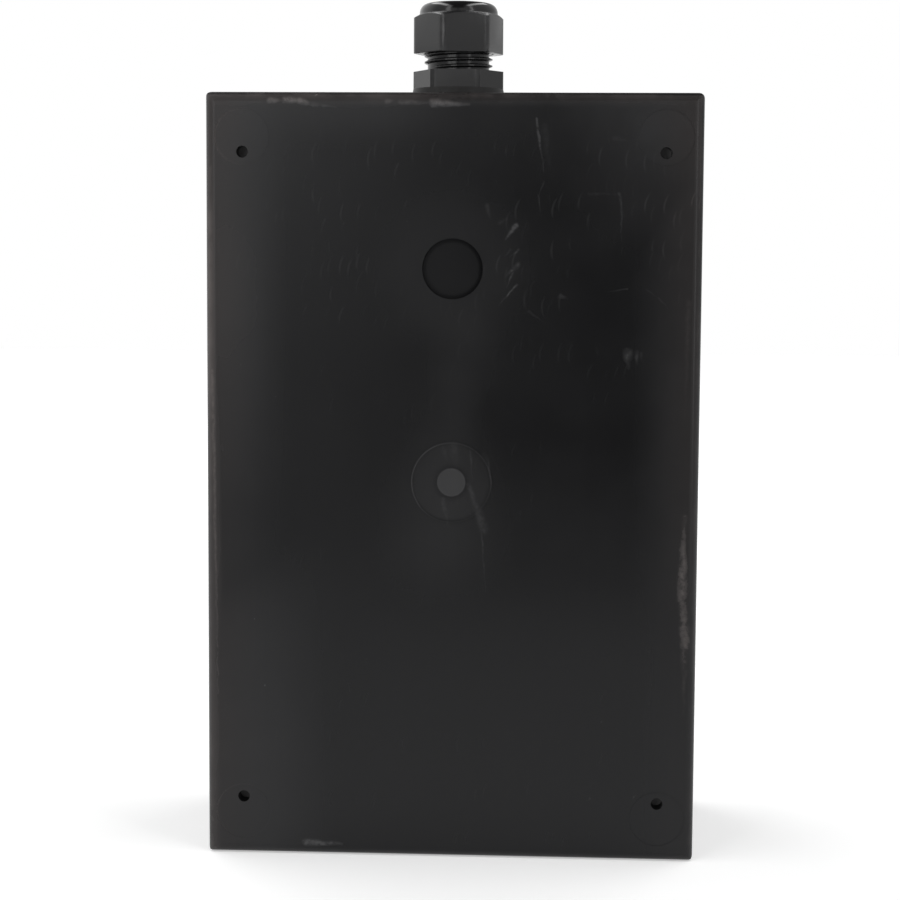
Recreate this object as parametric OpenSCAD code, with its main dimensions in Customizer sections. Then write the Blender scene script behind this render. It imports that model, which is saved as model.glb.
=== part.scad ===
// Wall-mounted cellular signal booster in a moulded plastic case with one cable gland.
// Millimetres, +Z up towards the gland. The mounting (back) face looks along -Y and the
// removable cover along +Y. The origin is the middle of the flat lower end.

/* [Case] */
// Width of the case
case_w = 150; // [140:1:170]
// Height of the case without the gland
case_h = 234; // [222:1:260]
// Depth of the rear housing, from the back face to the parting line
housing_d = 56; // [54:1:70]
// Depth of the front cover, from the parting line to the front face
cover_d = 19; // [17:1:26]
// Wall thickness of housing and cover
wall = 3; // [2.6:0.1:3.6]
// Rounding of the edges around the back face and the front face
edge_r = 3; // [1.5:0.1:4]
// Rounding of the four corners of the outline
corner_r = 2; // [1:0.1:3]

/* [Corner pillars] */
// Distance of the pillar axis from the side of the case
pillar_side = 11.3; // [10.6:0.1:12.5]
// Distance of the pillar axis from the end of the case
pillar_end = 13.4; // [13:0.1:14]
// Radius of a pillar
pillar_r = 10; // [9.6:0.05:10.6]
// Distance of a wall screw hole from the end of the case
mount_hole_end = 18; // [17:0.1:18.4]
// Diameter of a wall screw hole
mount_hole_d = 3.6; // [3:0.1:4.2]
// Thickness of the seat for the head of a wall screw
mount_seat_t = 6; // [3:0.5:12]
// Wall between the channel of a wall screw's head and the chamber
channel_wall = 2.7; // [2.5:0.1:3]

/* [Back face] */
// Diameter of the blind knockout
knockout_d = 18.2; // [14:0.1:22]
// Depth of the blind knockout
knockout_depth = 1.4; // [0.6:0.1:2]
// Height of the knockout above the middle of the back face
knockout_rise = 64.2; // [40:0.1:75]
// Drop of the moulding gate below the middle of the back face
gate_drop = 0.5; // [0:0.1:2]
// Diameter of the dish around the moulding gate
gate_dish_d = 24; // [18:0.1:30]
// Depth of the dish around the moulding gate
gate_dish_depth = 0.5; // [0.3:0.05:1]
// Diameter of the trimmed gate stub
gate_stub_d = 8.8; // [5:0.1:12]
// Height of the trimmed gate stub above the floor of its dish
gate_stub_h = 0.3; // [0.1:0.05:0.5]
// Radius of the mould insert's outline behind each pillar
insert_r = 8.35; // [7:0.05:9]
// Width of the hairline around each mould insert
witness_w = 0.3; // [0.2:0.05:0.6]
// Depth of the hairline around each mould insert
witness_depth = 0.12; // [0.05:0.01:0.3]

/* [Cover joint] */
// Thickness of the tongue around the housing's rim
tongue_t = 1; // [0.8:0.05:1.2]
// Height of the tongue
tongue_h = 2.4; // [1.5:0.1:3]
// Depth of the cover's sealing groove
groove_depth = 4.2; // [3.8:0.1:5]
// Gap on each side of the tongue in its groove
groove_gap = 0.2; // [0.1:0.05:0.3]
// Gap between the tip of the tongue and the gasket
gasket_gap = 0.1; // [0.05:0.05:0.3]
// Width of the recessed label field on the front
label_w = 104; // [60:1:110]
// Height of the recessed label field on the front
label_h = 168; // [80:1:180]
// Depth of the recessed label field
label_depth = 0.6; // [0.3:0.1:1]

/* [Cover screws] */
// Diameter over the screw thread
screw_d = 4; // [3.5:0.1:4.2]
// Diameter of the screw core
screw_core_d = 2.9; // [2.4:0.1:3.2]
// Lead of the screw thread
screw_pitch = 1.8; // [1.4:0.1:2.2]
// Length of thread held in the housing
screw_engage = 11; // [8:0.5:14]
// Diameter of the screw head
screw_head_d = 8; // [7:0.1:8.4]
// Height of the screw head
screw_head_h = 3.2; // [2.5:0.1:4]
// Thickness of cover under the screw's washer
screw_seat_t = 5.5; // [4.8:0.1:7]
// Thickness of the washer under the head
washer_t = 1; // [0.6:0.1:1.5]
// Radial clearance around a cover screw
screw_gap = 0.3; // [0.2:0.05:0.4]

/* [Cable gland] */
// Distance of the gland axis from the back face
gland_depth = 28; // [24:0.5:30]
// Diameter of the lower, fixing thread
gland_thread_d = 20; // [18:0.1:22]
// Length of the lower thread below the sealing washer
gland_thread_len = 11; // [9:0.5:14]
// Width of the hexagons across their flats
gland_hex_af = 25; // [24:0.1:27]
// Diameter over the blunted corners of the hexagons
gland_corner_d = 28; // [27.4:0.1:28.6]
// Turn of the flange against the case, in degrees
flange_turn = -2; // [-30:1:30]
// Thickness of the sealing washer
gland_washer_t = 2.6; // [1.5:0.1:3.5]
// Spread of the squeezed washer at its foot, on radius
gland_washer_flare = 0.55; // [0:0.05:0.6]
// Thickness of the hexagonal flange
gland_flange_t = 5.4; // [4:0.1:7]
// Length of bare thread between flange and nut
gland_bare_thread = 5.4; // [5.3:0.1:6.5]
// Diameter over the upper thread
gland_upper_d = 21.2; // [20.8:0.1:21.4]
// Lead of the upper thread
gland_pitch = 2; // [1.5:0.1:2.5]
// Height of the domed nut
nut_h = 15.5; // [15:0.1:18]
// Turn of the nut against the case, in degrees
nut_turn = 12; // [-30:1:30]
// Diameter of the dome at its foot
nut_dome_d = 24.3; // [23.6:0.1:24.8]
// Radius of the dome's shoulder
nut_dome_r = 3.5; // [2.8:0.1:4]
// Height of the nut's corners up to their chamfer
nut_corner_h = 11; // [9.5:0.1:11.5]
// Fall of the corner chamfer over its width
nut_chamfer = 0.55; // [0.4:0.05:1.3]
// Diameter of the cable bore in the seal
cable_bore_d = 12; // [8:0.1:12.4]
// Turns of the nut from its rest to fully tightened
nut_tighten_turns = 2.5; // [1:0.5:2.5]

/* [Chassis and board] */
// Height of the posts that carry the chassis plate
post_h = 6; // [4:0.5:9]
// Diameter of a post
post_d = 8; // [7:0.1:10]
// Thickness of the chassis plate
chassis_t = 2.5; // [1.5:0.1:4]
// Gap between the chassis plate and the side walls and pillars
chassis_gap = 4; // [3:0.5:8]
// Free height for wiring between chassis plate and top wall
wiring_h = 53; // [45:1:60]
// Height of the spacers under the board
spacer_h = 5; // [4:0.5:8]
// Width across flats of the hexagonal spacers
spacer_af = 5.5; // [5:0.1:6]
// Thickness of the board
board_t = 1.6; // [1:0.1:2.4]
// Margin of the chassis plate beside the board
board_side_margin = 9; // [8.5:0.5:12]
// Margin of the chassis plate above and below the board
board_margin = 4; // [3:0.5:6]
// Distance of the board's fixing holes from its edges
board_hole_inset = 5; // [4.5:0.5:6]
// Diameter of the small machine screws
m3_d = 3; // [2.5:0.1:3]
// Diameter of the heads of the small machine screws
m3_head_d = 5.6; // [5:0.1:6]
// Height of the heads of the small machine screws
m3_head_h = 2; // [1.5:0.1:2.5]
// Clearance of small screws and pins in their holes, on radius
pin_gap = 0.1; // [0.05:0.05:0.2]

/* [Antenna] */
// Distance from the board to the reflector
reflector_rise = 21.4; // [20:0.1:24]
// Height of the reflector
reflector_h = 84; // [78:1:90]
// Thickness of the reflector
reflector_t = 1.5; // [1:0.1:2]
// Distance from the reflector to the patch
patch_rise = 12; // [8:0.5:14]
// Width of the patch
patch_w = 76; // [60:1:90]
// Height of the patch
patch_h = 62; // [50:1:68]
// Thickness of the patch
patch_t = 1; // [0.5:0.1:1.5]
// Corner cut of the patch
patch_cut = 9; // [4:0.5:14]

/* [Parts on the board] */
// Width of a shield can
shield_w = 46; // [40:1:48]
// Height of a shield can along the board
shield_h = 58; // [45:1:62]
// Depth of a shield can
shield_d = 6.5; // [5:0.1:9]
// Sheet thickness of a shield can
shield_t = 0.5; // [0.3:0.1:0.8]
// Width of a duplexer
duplexer_w = 44; // [36:1:48]
// Height of a duplexer along the board
duplexer_h = 20; // [16:1:22]
// Depth of a duplexer
duplexer_d = 13; // [10:0.5:15]
// Travel of a gain switch lever
dip_travel = 2; // [1:0.1:2.4]

/* [Hidden] */
$fn = 64;
overcut = 1;

// Main planes along Y
case_d = housing_d + cover_d;
back_y = -case_d / 2;
split_y = back_y + housing_d;
front_y = case_d / 2;
inner_w = case_w - 2 * wall;
inner_h = case_h - 2 * wall;

// Corner pillars: the cover screw mirrors the wall screw hole about the pillar axis
pillar_x = case_w / 2 - pillar_side;
screw_end = 2 * pillar_end - mount_hole_end;
mount_channel_r = pillar_end + pillar_r - mount_hole_end - channel_wall;
tongue_s = (wall - tongue_t) / 2;

// Cover screws, along Y
seat_y = split_y + screw_seat_t;
head_y = seat_y + washer_t;
pilot_r = screw_d / 2 + screw_gap;
counterbore_r = screw_head_d / 2 + screw_gap;

// Gland stations above the top of the case
gland_y = back_y + gland_depth;
flange_z = gland_washer_t;
flange_top = flange_z + gland_flange_t;
nut_z = flange_top + gland_bare_thread;
nut_tighten = nut_tighten_turns * gland_pitch;
gland_gap = 0.3;
thread_depth = 1.05;
upper_root_r = gland_upper_d / 2 - thread_depth;
nut_bore_r = gland_upper_d / 2 + gland_gap;
nut_thread_h = 9.8;
nut_cone_h = 4.2;
nut_cone_z = nut_z + nut_thread_h;
nut_mouth_z = nut_cone_z + nut_cone_h;
nut_mouth_r = 7.4;
claw_t = 1;
claw_step = 0.25;
claw_r = upper_root_r - claw_step;
claw_bore_r = claw_r - claw_t;
claw_top = nut_cone_z - nut_tighten + 4 * gland_gap;
gland_bore_r = 7;
seal_r = claw_bore_r - gland_gap;
seal_collar_z = claw_top + nut_tighten + gland_gap;
seal_stem_h = 9.7;
seal_bottom = seal_collar_z - seal_stem_h;
claw_floor = seal_bottom - nut_tighten - gland_gap;

// Chassis plate and board, along Y and Z
chassis_y = back_y + wall + post_h;
board_y = chassis_y + chassis_t + spacer_h;
board_top = board_y + board_t;
chassis_w = inner_w - 2 * chassis_gap;
chassis_z0 = pillar_end + pillar_r + chassis_gap / 2;
chassis_z1 = case_h - wall - wiring_h;
chassis_hole_inset = 5;
chassis_hole_end = 30;
chassis_holes = [for (sx = [-1, 1], z = [chassis_z0 + chassis_hole_end, chassis_z1 - chassis_hole_end])
    [sx * (chassis_w / 2 - chassis_hole_inset), z]];
board_w = chassis_w - 2 * board_side_margin;
board_z0 = chassis_z0 + board_margin;
board_z1 = chassis_z1 - board_margin;
board_hole_x = board_w / 2 - board_hole_inset;
m3_r = m3_d / 2;
hole_r = m3_r + pin_gap;
spacer_bite = 0.44 * spacer_h;

// Antenna: the reflector hangs on the board's lower fixing holes and its own upper pair
reflector_y = board_top + reflector_rise;
patch_y = reflector_y + reflector_t + patch_rise;
reflector_z0 = board_z0;
reflector_z1 = reflector_z0 + reflector_h;
reflector_holes = [for (sx = [-1, 1], z = [board_z0 + board_hole_inset, reflector_z1 - board_hole_inset])
    [sx * board_hole_x, z]];
board_top_holes = [for (sx = [-1, 1]) [sx * board_hole_x, board_z1 - board_hole_inset]];
board_holes = concat(reflector_holes, board_top_holes);
antenna_z = (reflector_z0 + reflector_z1) / 2;
patch_post_r = 3.5;
patch_hole_inset = 9;
patch_posts = [for (s = [[-1, 1], [1, -1], [1, 1], [-1, -1]])
    [s[0] * (patch_w / 2 - patch_hole_inset), antenna_z + s[1] * (patch_h / 2 - patch_hole_inset)]];
feed_z = antenna_z - patch_h / 6;
feed_r = 0.65;
bush_r = 2;
tapped_depth = 6;

// Places of the parts on the board: across from its middle, down from its upper edge
shield_x = 26;
shield_z = board_z0 + board_hole_inset + shield_h / 2;
duplexer_x = 28;
duplexer_drop = 35;
duplexer_z = board_z1 - duplexer_drop;
terminal_poles = 3;
terminal_pitch = 5.08;
terminal_w = terminal_poles * terminal_pitch;
terminal_h = 8.2;
terminal_d = 10;
terminal_x = -32;
terminal_drop = 6;
terminal_z = board_z1 - terminal_drop;
jack_x = -4;
jack_drop = 9;
jack_z = board_z1 - jack_drop;
dip_ways = 4;
dip_pitch = 2.54;
dip_rim = 0.9;
dip_w = dip_ways * dip_pitch + 2 * dip_rim;
dip_h = 7.4;
dip_d = 4.2;
dip_x = 30;
dip_drop = 9;
dip_z = board_z1 - dip_drop;
lever_w = 1.2;
lever_h = 1.7;
lever_sunk = 1.3;
lever_proud = 0.9;
lever_gap = 0.15;
led_pitch = 6;
led_drop = 20;
led_z = board_z1 - led_drop;
power_drop = 54;
power_z = board_z1 - power_drop;
capacitor_inset = 12;
capacitor_x = capacitor_inset - board_w / 2;
capacitor_pitch = 12.5;
inductor_x = -5;
controller_x = 24;

// Places 2-D shapes drawn in X and Z as slabs between two stations along Y
module slab(y0, y1) {
    translate([0, y1, 0]) rotate([90, 0, 0]) linear_extrude(y1 - y0) children();
}

// A cylinder along +Y from y0 to y1 at a place in X and Z
module rod_y(place, r, y0, y1, sides = $fn) {
    translate([place[0], y1, place[1]]) rotate([90, 0, 0]) cylinder(r = r, h = y1 - y0, $fn = sides);
}

// A box that sits on the board: width along X, height along Z, depth along +Y
module on_board(x, z, w, h, d, lift = 0) {
    translate([x - w / 2, board_top + lift, z - h / 2]) cube([w, d, h]);
}

// Rectangle with round corners, standing on the X axis
module rounded_rect(w, h, r) {
    translate([-w / 2 + r, 0]) square([w - 2 * r, h]);
    translate([-w / 2, r]) square([w, h - 2 * r]);
    for (sx = [-1, 1], z = [r, h - r]) translate([sx * (w / 2 - r), z]) circle(r);
}

// Section of a shell half: depth along X from the rounded end, span centred on Y
module eased_section(depth, span) {
    translate([edge_r, -span / 2]) square([depth - edge_r, span]);
    translate([0, -span / 2 + edge_r]) square([depth, span - 2 * edge_r]);
    for (s = [-1, 1]) translate([edge_r, s * (span / 2 - edge_r)]) circle(edge_r);
}

// Solid block of the case outline with the edges round its y = 0 face eased
module eased_block(depth) {
    intersection() {
        slab(0, depth) rounded_rect(case_w, case_h, corner_r);
        rotate([90, 0, 90]) translate([0, case_h / 2, -case_w])
            linear_extrude(2 * case_w) eased_section(depth, case_h);
        translate([0, 0, -overcut]) linear_extrude(case_h + 2 * overcut)
            mirror([1, -1]) eased_section(depth, case_w);
    }
}

// Repeats a 2-D shape drawn from the lower left corner in all four corners
module in_corners() {
    for (mx = [0, 1], mz = [0, 1])
        translate([0, mz * case_h]) mirror([0, mz]) mirror([mx, 0])
            translate([-case_w / 2, 0]) children();
}

// Outline of the chamber inside the walls and pillars, grown by s into the wall
module chamber(s = 0) {
    difference() {
        translate([-inner_w / 2 - s, wall - s]) square([inner_w + 2 * s, inner_h + 2 * s]);
        in_corners() {
            translate([-overcut, -overcut])
                square([pillar_side + pillar_r - s + overcut, pillar_end + overcut]);
            translate([-overcut, -overcut])
                square([pillar_side + overcut, pillar_end + pillar_r - s + overcut]);
            translate([pillar_side, pillar_end]) circle(pillar_r - s);
        }
    }
}

// Closed band that follows the chamber, between two distances into the wall
module rim_band(s0, s1) {
    difference() {
        chamber(s1);
        chamber(s0);
    }
}

// Place of a cover screw, counted 1 to 4 from the lower left
function screw_place(i) = [(i % 2 == 1 ? -1 : 1) * pillar_x, i < 3 ? screw_end : case_h - screw_end];

wall_holes = [for (sx = [-1, 1], z = [mount_hole_end, case_h - mount_hole_end]) [sx * pillar_x, z]];
insert_marks = [for (sx = [-1, 1], z = [pillar_end, case_h - pillar_end]) [sx * pillar_x, z]];

// Helical ridge about +Z that starts at z = 0 and the angle a0, and fades in and out at its ends:
// r0, w0 at its root and r1, w1 at its crest
function ridge_ring(a, z, r0, r1, w0, w1) = [
    [r0 * cos(a), r0 * sin(a), z - w0 / 2], [r1 * cos(a), r1 * sin(a), z - w1 / 2],
    [r1 * cos(a), r1 * sin(a), z + w1 / 2], [r0 * cos(a), r0 * sin(a), z + w0 / 2]
];

module ridge(r0, r1, w0, w1, pitch, turns, steps, a0 = 0) {
    last = ceil(turns * steps);
    fade = steps / 6;
    function crest(i) = r0 + (r1 - r0) * min(1, (i + 0.5) / fade, (last - i + 0.5) / fade);
    points = [for (i = [0:last])
        each ridge_ring(a0 + 360 * i / steps, pitch * i / steps, r0, crest(i), w0, w1)];
    sides = [for (i = [0:last - 1], k = [0:3])
        [4 * i + k, 4 * i + (k + 1) % 4, 4 * (i + 1) + (k + 1) % 4, 4 * (i + 1) + k]];
    ends = [[3, 2, 1, 0], [4 * last, 4 * last + 1, 4 * last + 2, 4 * last + 3]];
    polyhedron(points, concat(sides, ends), convexity = 10);
}

// Case

module rear_housing() {
    middle_z = case_h / 2;
    gate_z = middle_z - gate_drop;
    dish_y = back_y + gate_dish_depth;
    color("#202124") {
        difference() {
            union() {
                difference() {
                    translate([0, back_y, 0]) eased_block(housing_d);
                    slab(back_y + wall, split_y + overcut) chamber();
                }
                slab(split_y - overcut, split_y + tongue_h) rim_band(tongue_s, tongue_s + tongue_t);
                for (p = chassis_holes) rod_y(p, post_d / 2, back_y + wall - overcut, chassis_y);
            }
            for (p = wall_holes) {
                rod_y(p, mount_hole_d / 2, back_y - overcut, split_y);
                rod_y(p, mount_channel_r, back_y + mount_seat_t, split_y + overcut);
            }
            for (i = [1:4])
                rod_y(screw_place(i), pilot_r, split_y - screw_engage - overcut, split_y + overcut);
            for (p = chassis_holes) rod_y(p, hole_r, back_y + wall, chassis_y + overcut);
            translate([0, gland_y, case_h - wall - overcut])
                cylinder(r = gland_thread_d / 2 + gland_gap, h = wall + 2 * overcut);
            rod_y([0, middle_z + knockout_rise], knockout_d / 2, back_y - overcut, back_y + knockout_depth);
            difference() {
                rod_y([0, gate_z], gate_dish_d / 2, back_y - overcut, dish_y);
                rod_y([0, gate_z], gate_stub_d / 2, dish_y - gate_stub_h, dish_y + overcut);
            }
            for (p = insert_marks) difference() {
                rod_y(p, insert_r + witness_w / 2, back_y - overcut, back_y + witness_depth);
                rod_y(p, insert_r - witness_w / 2, back_y - 2 * overcut, back_y + overcut);
            }
        }
    }
}

module front_cover() {
    color("#202124")
    difference() {
        translate([0, front_y, 0]) mirror([0, 1, 0]) eased_block(cover_d);
        slab(split_y - overcut, front_y - wall) chamber();
        slab(split_y - overcut, split_y + groove_depth)
            rim_band(tongue_s - groove_gap, tongue_s + tongue_t + groove_gap);
        for (i = [1:4]) {
            rod_y(screw_place(i), pilot_r, split_y - overcut, seat_y + overcut);
            rod_y(screw_place(i), counterbore_r, seat_y, front_y + overcut);
        }
        slab(front_y - label_depth, front_y + overcut)
            translate([0, (case_h - label_h) / 2]) rounded_rect(label_w, label_h, corner_r);
    }
}

module cover_gasket() {
    side_gap = groove_gap / 4;
    color("#3a3a3c")
    slab(split_y + tongue_h + gasket_gap, split_y + groove_depth)
        rim_band(tongue_s - groove_gap + side_gap, tongue_s + tongue_t + groove_gap - side_gap);
}

// One cover screw with a coarse thread and a cross recess
module cover_screw(i) {
    tip_y = split_y - screw_engage;
    ridge_turns = (screw_engage - screw_pitch) / screw_pitch;
    cross_w = screw_head_d * 0.6;
    cross_t = 1.1;
    cross_depth = screw_head_h * 0.6;
    color("#b9bcc0")
    difference() {
        union() {
            rod_y(screw_place(i), screw_head_d / 2, head_y, head_y + screw_head_h);
            rod_y(screw_place(i), screw_core_d / 2, tip_y, head_y + overcut / 2);
            translate([screw_place(i)[0], split_y - screw_pitch / 2, screw_place(i)[1]]) rotate([90, 0, 0])
                ridge(screw_core_d / 2 - 0.15, screw_d / 2, 0.8, 0.2, screw_pitch, ridge_turns, 20);
        }
        translate([screw_place(i)[0], head_y + screw_head_h, screw_place(i)[1]]) for (a = [0, 90])
            rotate([0, a, 0]) translate([-cross_w / 2, -cross_depth, -cross_t / 2])
                cube([cross_w, cross_depth + overcut, cross_t]);
    }
}

module screw_washer(i) {
    color("#2c2c2e")
    difference() {
        rod_y(screw_place(i), screw_head_d / 2, seat_y, head_y);
        rod_y(screw_place(i), pilot_r, seat_y - overcut, head_y + overcut);
    }
}

// Cable gland, drawn about +Z from the top of the case

module at_gland() {
    translate([0, gland_y, case_h]) children();
}

// Hexagonal prism with blunted corners
module hex_prism(af, corner_d, z0, z1) {
    translate([0, 0, z0]) intersection() {
        cylinder(r = af / sqrt(3), h = z1 - z0, $fn = 6);
        translate([0, 0, -overcut]) cylinder(r = corner_d / 2, h = z1 - z0 + 2 * overcut);
    }
}

module gland_body() {
    lower_pitch = 1.5;
    lower_root_r = gland_thread_d / 2 - 0.7;
    thread_bottom = flange_z - gland_thread_len - wall;
    lower_turns = (-wall - thread_bottom) / lower_pitch - 1;
    upper_angle = -150;
    upper_start = flange_top + 0.46 * gland_pitch;
    thread_top = nut_cone_z - nut_tighten - gland_pitch / 2;
    upper_turns = (thread_top - upper_start) / gland_pitch - 0.5;
    claw_slots = 3;
    claw_slot_w = 1.2;
    color("#26272a")
    at_gland() difference() {
        union() {
            translate([0, 0, thread_bottom])
                cylinder(r = lower_root_r, h = flange_z - thread_bottom + overcut);
            translate([0, 0, thread_bottom + lower_pitch / 2])
                ridge(lower_root_r - 0.3, gland_thread_d / 2, 1.3, 0.2, lower_pitch, lower_turns, 32);
            rotate([0, 0, flange_turn]) hex_prism(gland_hex_af, gland_corner_d, flange_z, flange_top);
            translate([0, 0, flange_z]) cylinder(r = upper_root_r, h = thread_top - flange_z);
            translate([0, 0, upper_start]) ridge(upper_root_r - 0.35, gland_upper_d / 2, 1.6, 0.35,
                                                 gland_pitch, upper_turns, 36, upper_angle);
            translate([0, 0, flange_z]) cylinder(r = claw_r, h = claw_top - flange_z);
        }
        translate([0, 0, thread_bottom - overcut])
            cylinder(r = gland_bore_r, h = claw_top - thread_bottom + 2 * overcut);
        translate([0, 0, claw_floor]) cylinder(r = claw_bore_r, h = claw_top - claw_floor + overcut);
        for (k = [0:claw_slots - 1]) rotate([0, 0, 180 * k / claw_slots])
            translate([-claw_slot_w / 2, -claw_r - overcut, thread_top])
                cube([claw_slot_w, 2 * (claw_r + overcut), claw_top - thread_top + overcut]);
    }
}

// Section of the domed nut's outside: radius along X, height along Y
module nut_outside() {
    corner_r = gland_corner_d / 2;
    dome_r = nut_dome_d / 2;
    dome_z = nut_h - nut_dome_r;
    chamfer_top = nut_corner_h + nut_chamfer * (corner_r - dome_r);
    square([dome_r, dome_z]);
    square([dome_r - nut_dome_r, nut_h]);
    translate([dome_r - nut_dome_r, dome_z]) circle(nut_dome_r);
    polygon([[0, 0], [corner_r + overcut, 0], [corner_r + overcut, nut_corner_h - nut_chamfer * overcut],
             [dome_r, chamfer_top], [0, chamfer_top]]);
}

module gland_nut() {
    color("#26272a")
    at_gland() difference() {
        intersection() {
            rotate([0, 0, nut_turn]) hex_prism(gland_hex_af, gland_corner_d, nut_z, nut_z + nut_h);
            translate([0, 0, nut_z]) rotate_extrude() intersection() {
                nut_outside();
                square([gland_corner_d, nut_h]);
            }
        }
        translate([0, 0, nut_z - overcut]) cylinder(r = nut_bore_r, h = nut_cone_z - nut_z + overcut);
        translate([0, 0, nut_cone_z]) cylinder(r1 = nut_bore_r, r2 = nut_mouth_r, h = nut_cone_h);
        translate([0, 0, nut_mouth_z - overcut]) cylinder(r = nut_mouth_r, h = nut_h + overcut);
    }
}

module gland_seal() {
    collar_r = nut_bore_r - 2;
    collar_rim = 0.5;
    top_r = nut_mouth_r - gland_gap;
    seal_top = nut_mouth_z - gland_gap;
    color("#161616")
    at_gland() difference() {
        union() {
            translate([0, 0, seal_bottom]) cylinder(r = seal_r, h = seal_top - seal_bottom - overcut);
            translate([0, 0, seal_collar_z]) cylinder(r = collar_r, h = collar_rim);
            translate([0, 0, seal_collar_z + collar_rim])
                cylinder(r1 = collar_r, r2 = top_r, h = seal_top - seal_collar_z - collar_rim);
        }
        translate([0, 0, seal_bottom - overcut])
            cylinder(r = cable_bore_d / 2, h = seal_top - seal_bottom + 2 * overcut);
    }
}

module gland_washer() {
    washer_r = gland_corner_d / 2;
    washer_bore_r = gland_thread_d / 2 + pin_gap;
    color("#141415") at_gland() difference() {
        cylinder(r1 = washer_r + gland_washer_flare, r2 = washer_r, h = gland_washer_t);
        translate([0, 0, -overcut]) cylinder(r = washer_bore_r, h = gland_washer_t + 2 * overcut);
    }
}

module gland_locknut() {
    locknut_t = 5;
    locknut_af = gland_thread_d + 7;
    color("#26272a") at_gland() difference() {
        hex_prism(locknut_af, locknut_af * 1.12, -wall - locknut_t, -wall);
        translate([0, 0, -wall - locknut_t - overcut])
            cylinder(r = gland_thread_d / 2 + pin_gap, h = locknut_t + 2 * overcut);
    }
}

// Chassis plate and board

// Small machine screw with its head seated at y, driven along -Y, or along +Y from behind
module m3_screw(place, y, length, behind = 0) {
    slot_w = 0.8;
    translate([place[0], y, place[1]]) mirror([0, behind, 0]) difference() {
        union() {
            rod_y([0, 0], m3_head_d / 2, 0, m3_head_h, 40);
            rod_y([0, 0], m3_r, -length, m3_head_h / 2, 40);
        }
        translate([-m3_head_d / 2, m3_head_h / 2, -slot_w / 2]) cube([m3_head_d, m3_head_h, slot_w]);
    }
}

// Hexagonal spacer along Y with a tapped hole through it
module hex_spacer(place, y0, y1) {
    difference() {
        rod_y(place, spacer_af / sqrt(3), y0, y1, 6);
        rod_y(place, hole_r, y0 - overcut, y1 + overcut, 40);
    }
}

module chassis_plate() {
    color("#b4b7bb")
    difference() {
        slab(chassis_y, chassis_y + chassis_t) translate([0, chassis_z0])
            rounded_rect(chassis_w, chassis_z1 - chassis_z0, corner_r);
        for (p = concat(chassis_holes, board_holes))
            rod_y(p, hole_r, chassis_y - overcut, chassis_y + chassis_t + overcut, 40);
    }
}

module chassis_screws() {
    color("#c8c9cb")
    for (p = chassis_holes) m3_screw(p, chassis_y + chassis_t, chassis_t + post_h * 0.9);
}

module board_spacers() {
    color("#c2a14d")
    for (p = board_holes) hex_spacer(p, chassis_y + chassis_t, board_y);
}

// Screws from behind the chassis plate that hold the spacers
module spacer_screws() {
    color("#c8c9cb")
    for (p = board_holes) m3_screw(p, chassis_y, chassis_t + spacer_bite, 1);
}

module main_board() {
    board_h = board_z1 - board_z0;
    color("#1f5f3a")
    difference() {
        slab(board_y, board_top) translate([0, board_z0]) rounded_rect(board_w, board_h, corner_r);
        for (p = board_holes) rod_y(p, hole_r, board_y - overcut, board_top + overcut, 40);
    }
}

module board_screws() {
    color("#c8c9cb")
    for (p = board_top_holes) m3_screw(p, board_top, board_t + spacer_bite);
}

module thermal_pads() {
    pad = 30;
    color("#8d9bb0")
    for (sx = [-1, 1]) translate([sx * shield_x - pad / 2, chassis_y + chassis_t, shield_z - pad / 2])
        cube([pad, spacer_h, pad]);
}

// Parts on the board

// Open-backed sheet-metal can with vent holes
module shield(x) {
    vent_r = 1.2;
    vent_pitch = 8;
    hollow_w = shield_w - 2 * shield_t;
    hollow_h = shield_h - 2 * shield_t;
    hollow_d = shield_d - shield_t;
    color("#c9ccd0")
    difference() {
        on_board(x, shield_z, shield_w, shield_h, shield_d);
        on_board(x, shield_z, hollow_w, hollow_h, hollow_d + overcut, -overcut);
        for (i = [-1:1], k = [-2:2])
            rod_y([x + i * vent_pitch, shield_z + k * vent_pitch], vent_r,
                  board_top + shield_d - 2 * shield_t, board_top + shield_d + overcut, 32);
    }
}

module amplifier_chips() {
    chip = 8;
    chip_d = 1.6;
    color("#2a2a2c")
    for (sx = [-1, 1], k = [-1, 1])
        on_board(sx * shield_x, shield_z + k * chip, chip, chip, chip_d);
}

module duplexer(x) {
    foot_t = 1.2;
    foot_rim = 2;
    color("#d3d5d8") {
        union() {
            on_board(x, duplexer_z, duplexer_w, duplexer_h, foot_t);
            on_board(x, duplexer_z, duplexer_w - 2 * foot_rim, duplexer_h - 2 * foot_rim, duplexer_d);
        }
    }
}

// Slotted tuning screws that stand on the two duplexers
module tuning_screws() {
    tuner_r = 1.9;
    tuner_h = 1.4;
    tuner_slot = 0.6;
    tuner_pitch = 7.5;
    tuner_stagger = 2.5;
    tuner_y = board_top + duplexer_d;
    color("#c2a14d")
    for (sx = [-1, 1], i = [-2:2]) {
        stagger = i % 2 == 0 ? tuner_stagger : -tuner_stagger;
        place = [sx * duplexer_x + i * tuner_pitch, duplexer_z + stagger];
        difference() {
            rod_y(place, tuner_r, tuner_y, tuner_y + tuner_h, 32);
            translate([place[0] - tuner_r - overcut, tuner_y + tuner_h / 2, place[1] - tuner_slot / 2])
                cube([2 * (tuner_r + overcut), tuner_h, tuner_slot]);
        }
    }
}

// Can capacitors with a rolled neck
module filter_capacitors() {
    can_r = 5;
    can_h = 12;
    neck_z = 2.2;
    neck_r = 0.6;
    color("#27343f")
    for (i = [0:2])
        translate([capacitor_x + i * capacitor_pitch, board_top, power_z]) rotate([-90, 0, 0])
            rotate_extrude() difference() {
                square([can_r, can_h]);
                translate([can_r + neck_r / 3, neck_z]) circle(neck_r, $fn = 32);
            }
}

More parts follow.
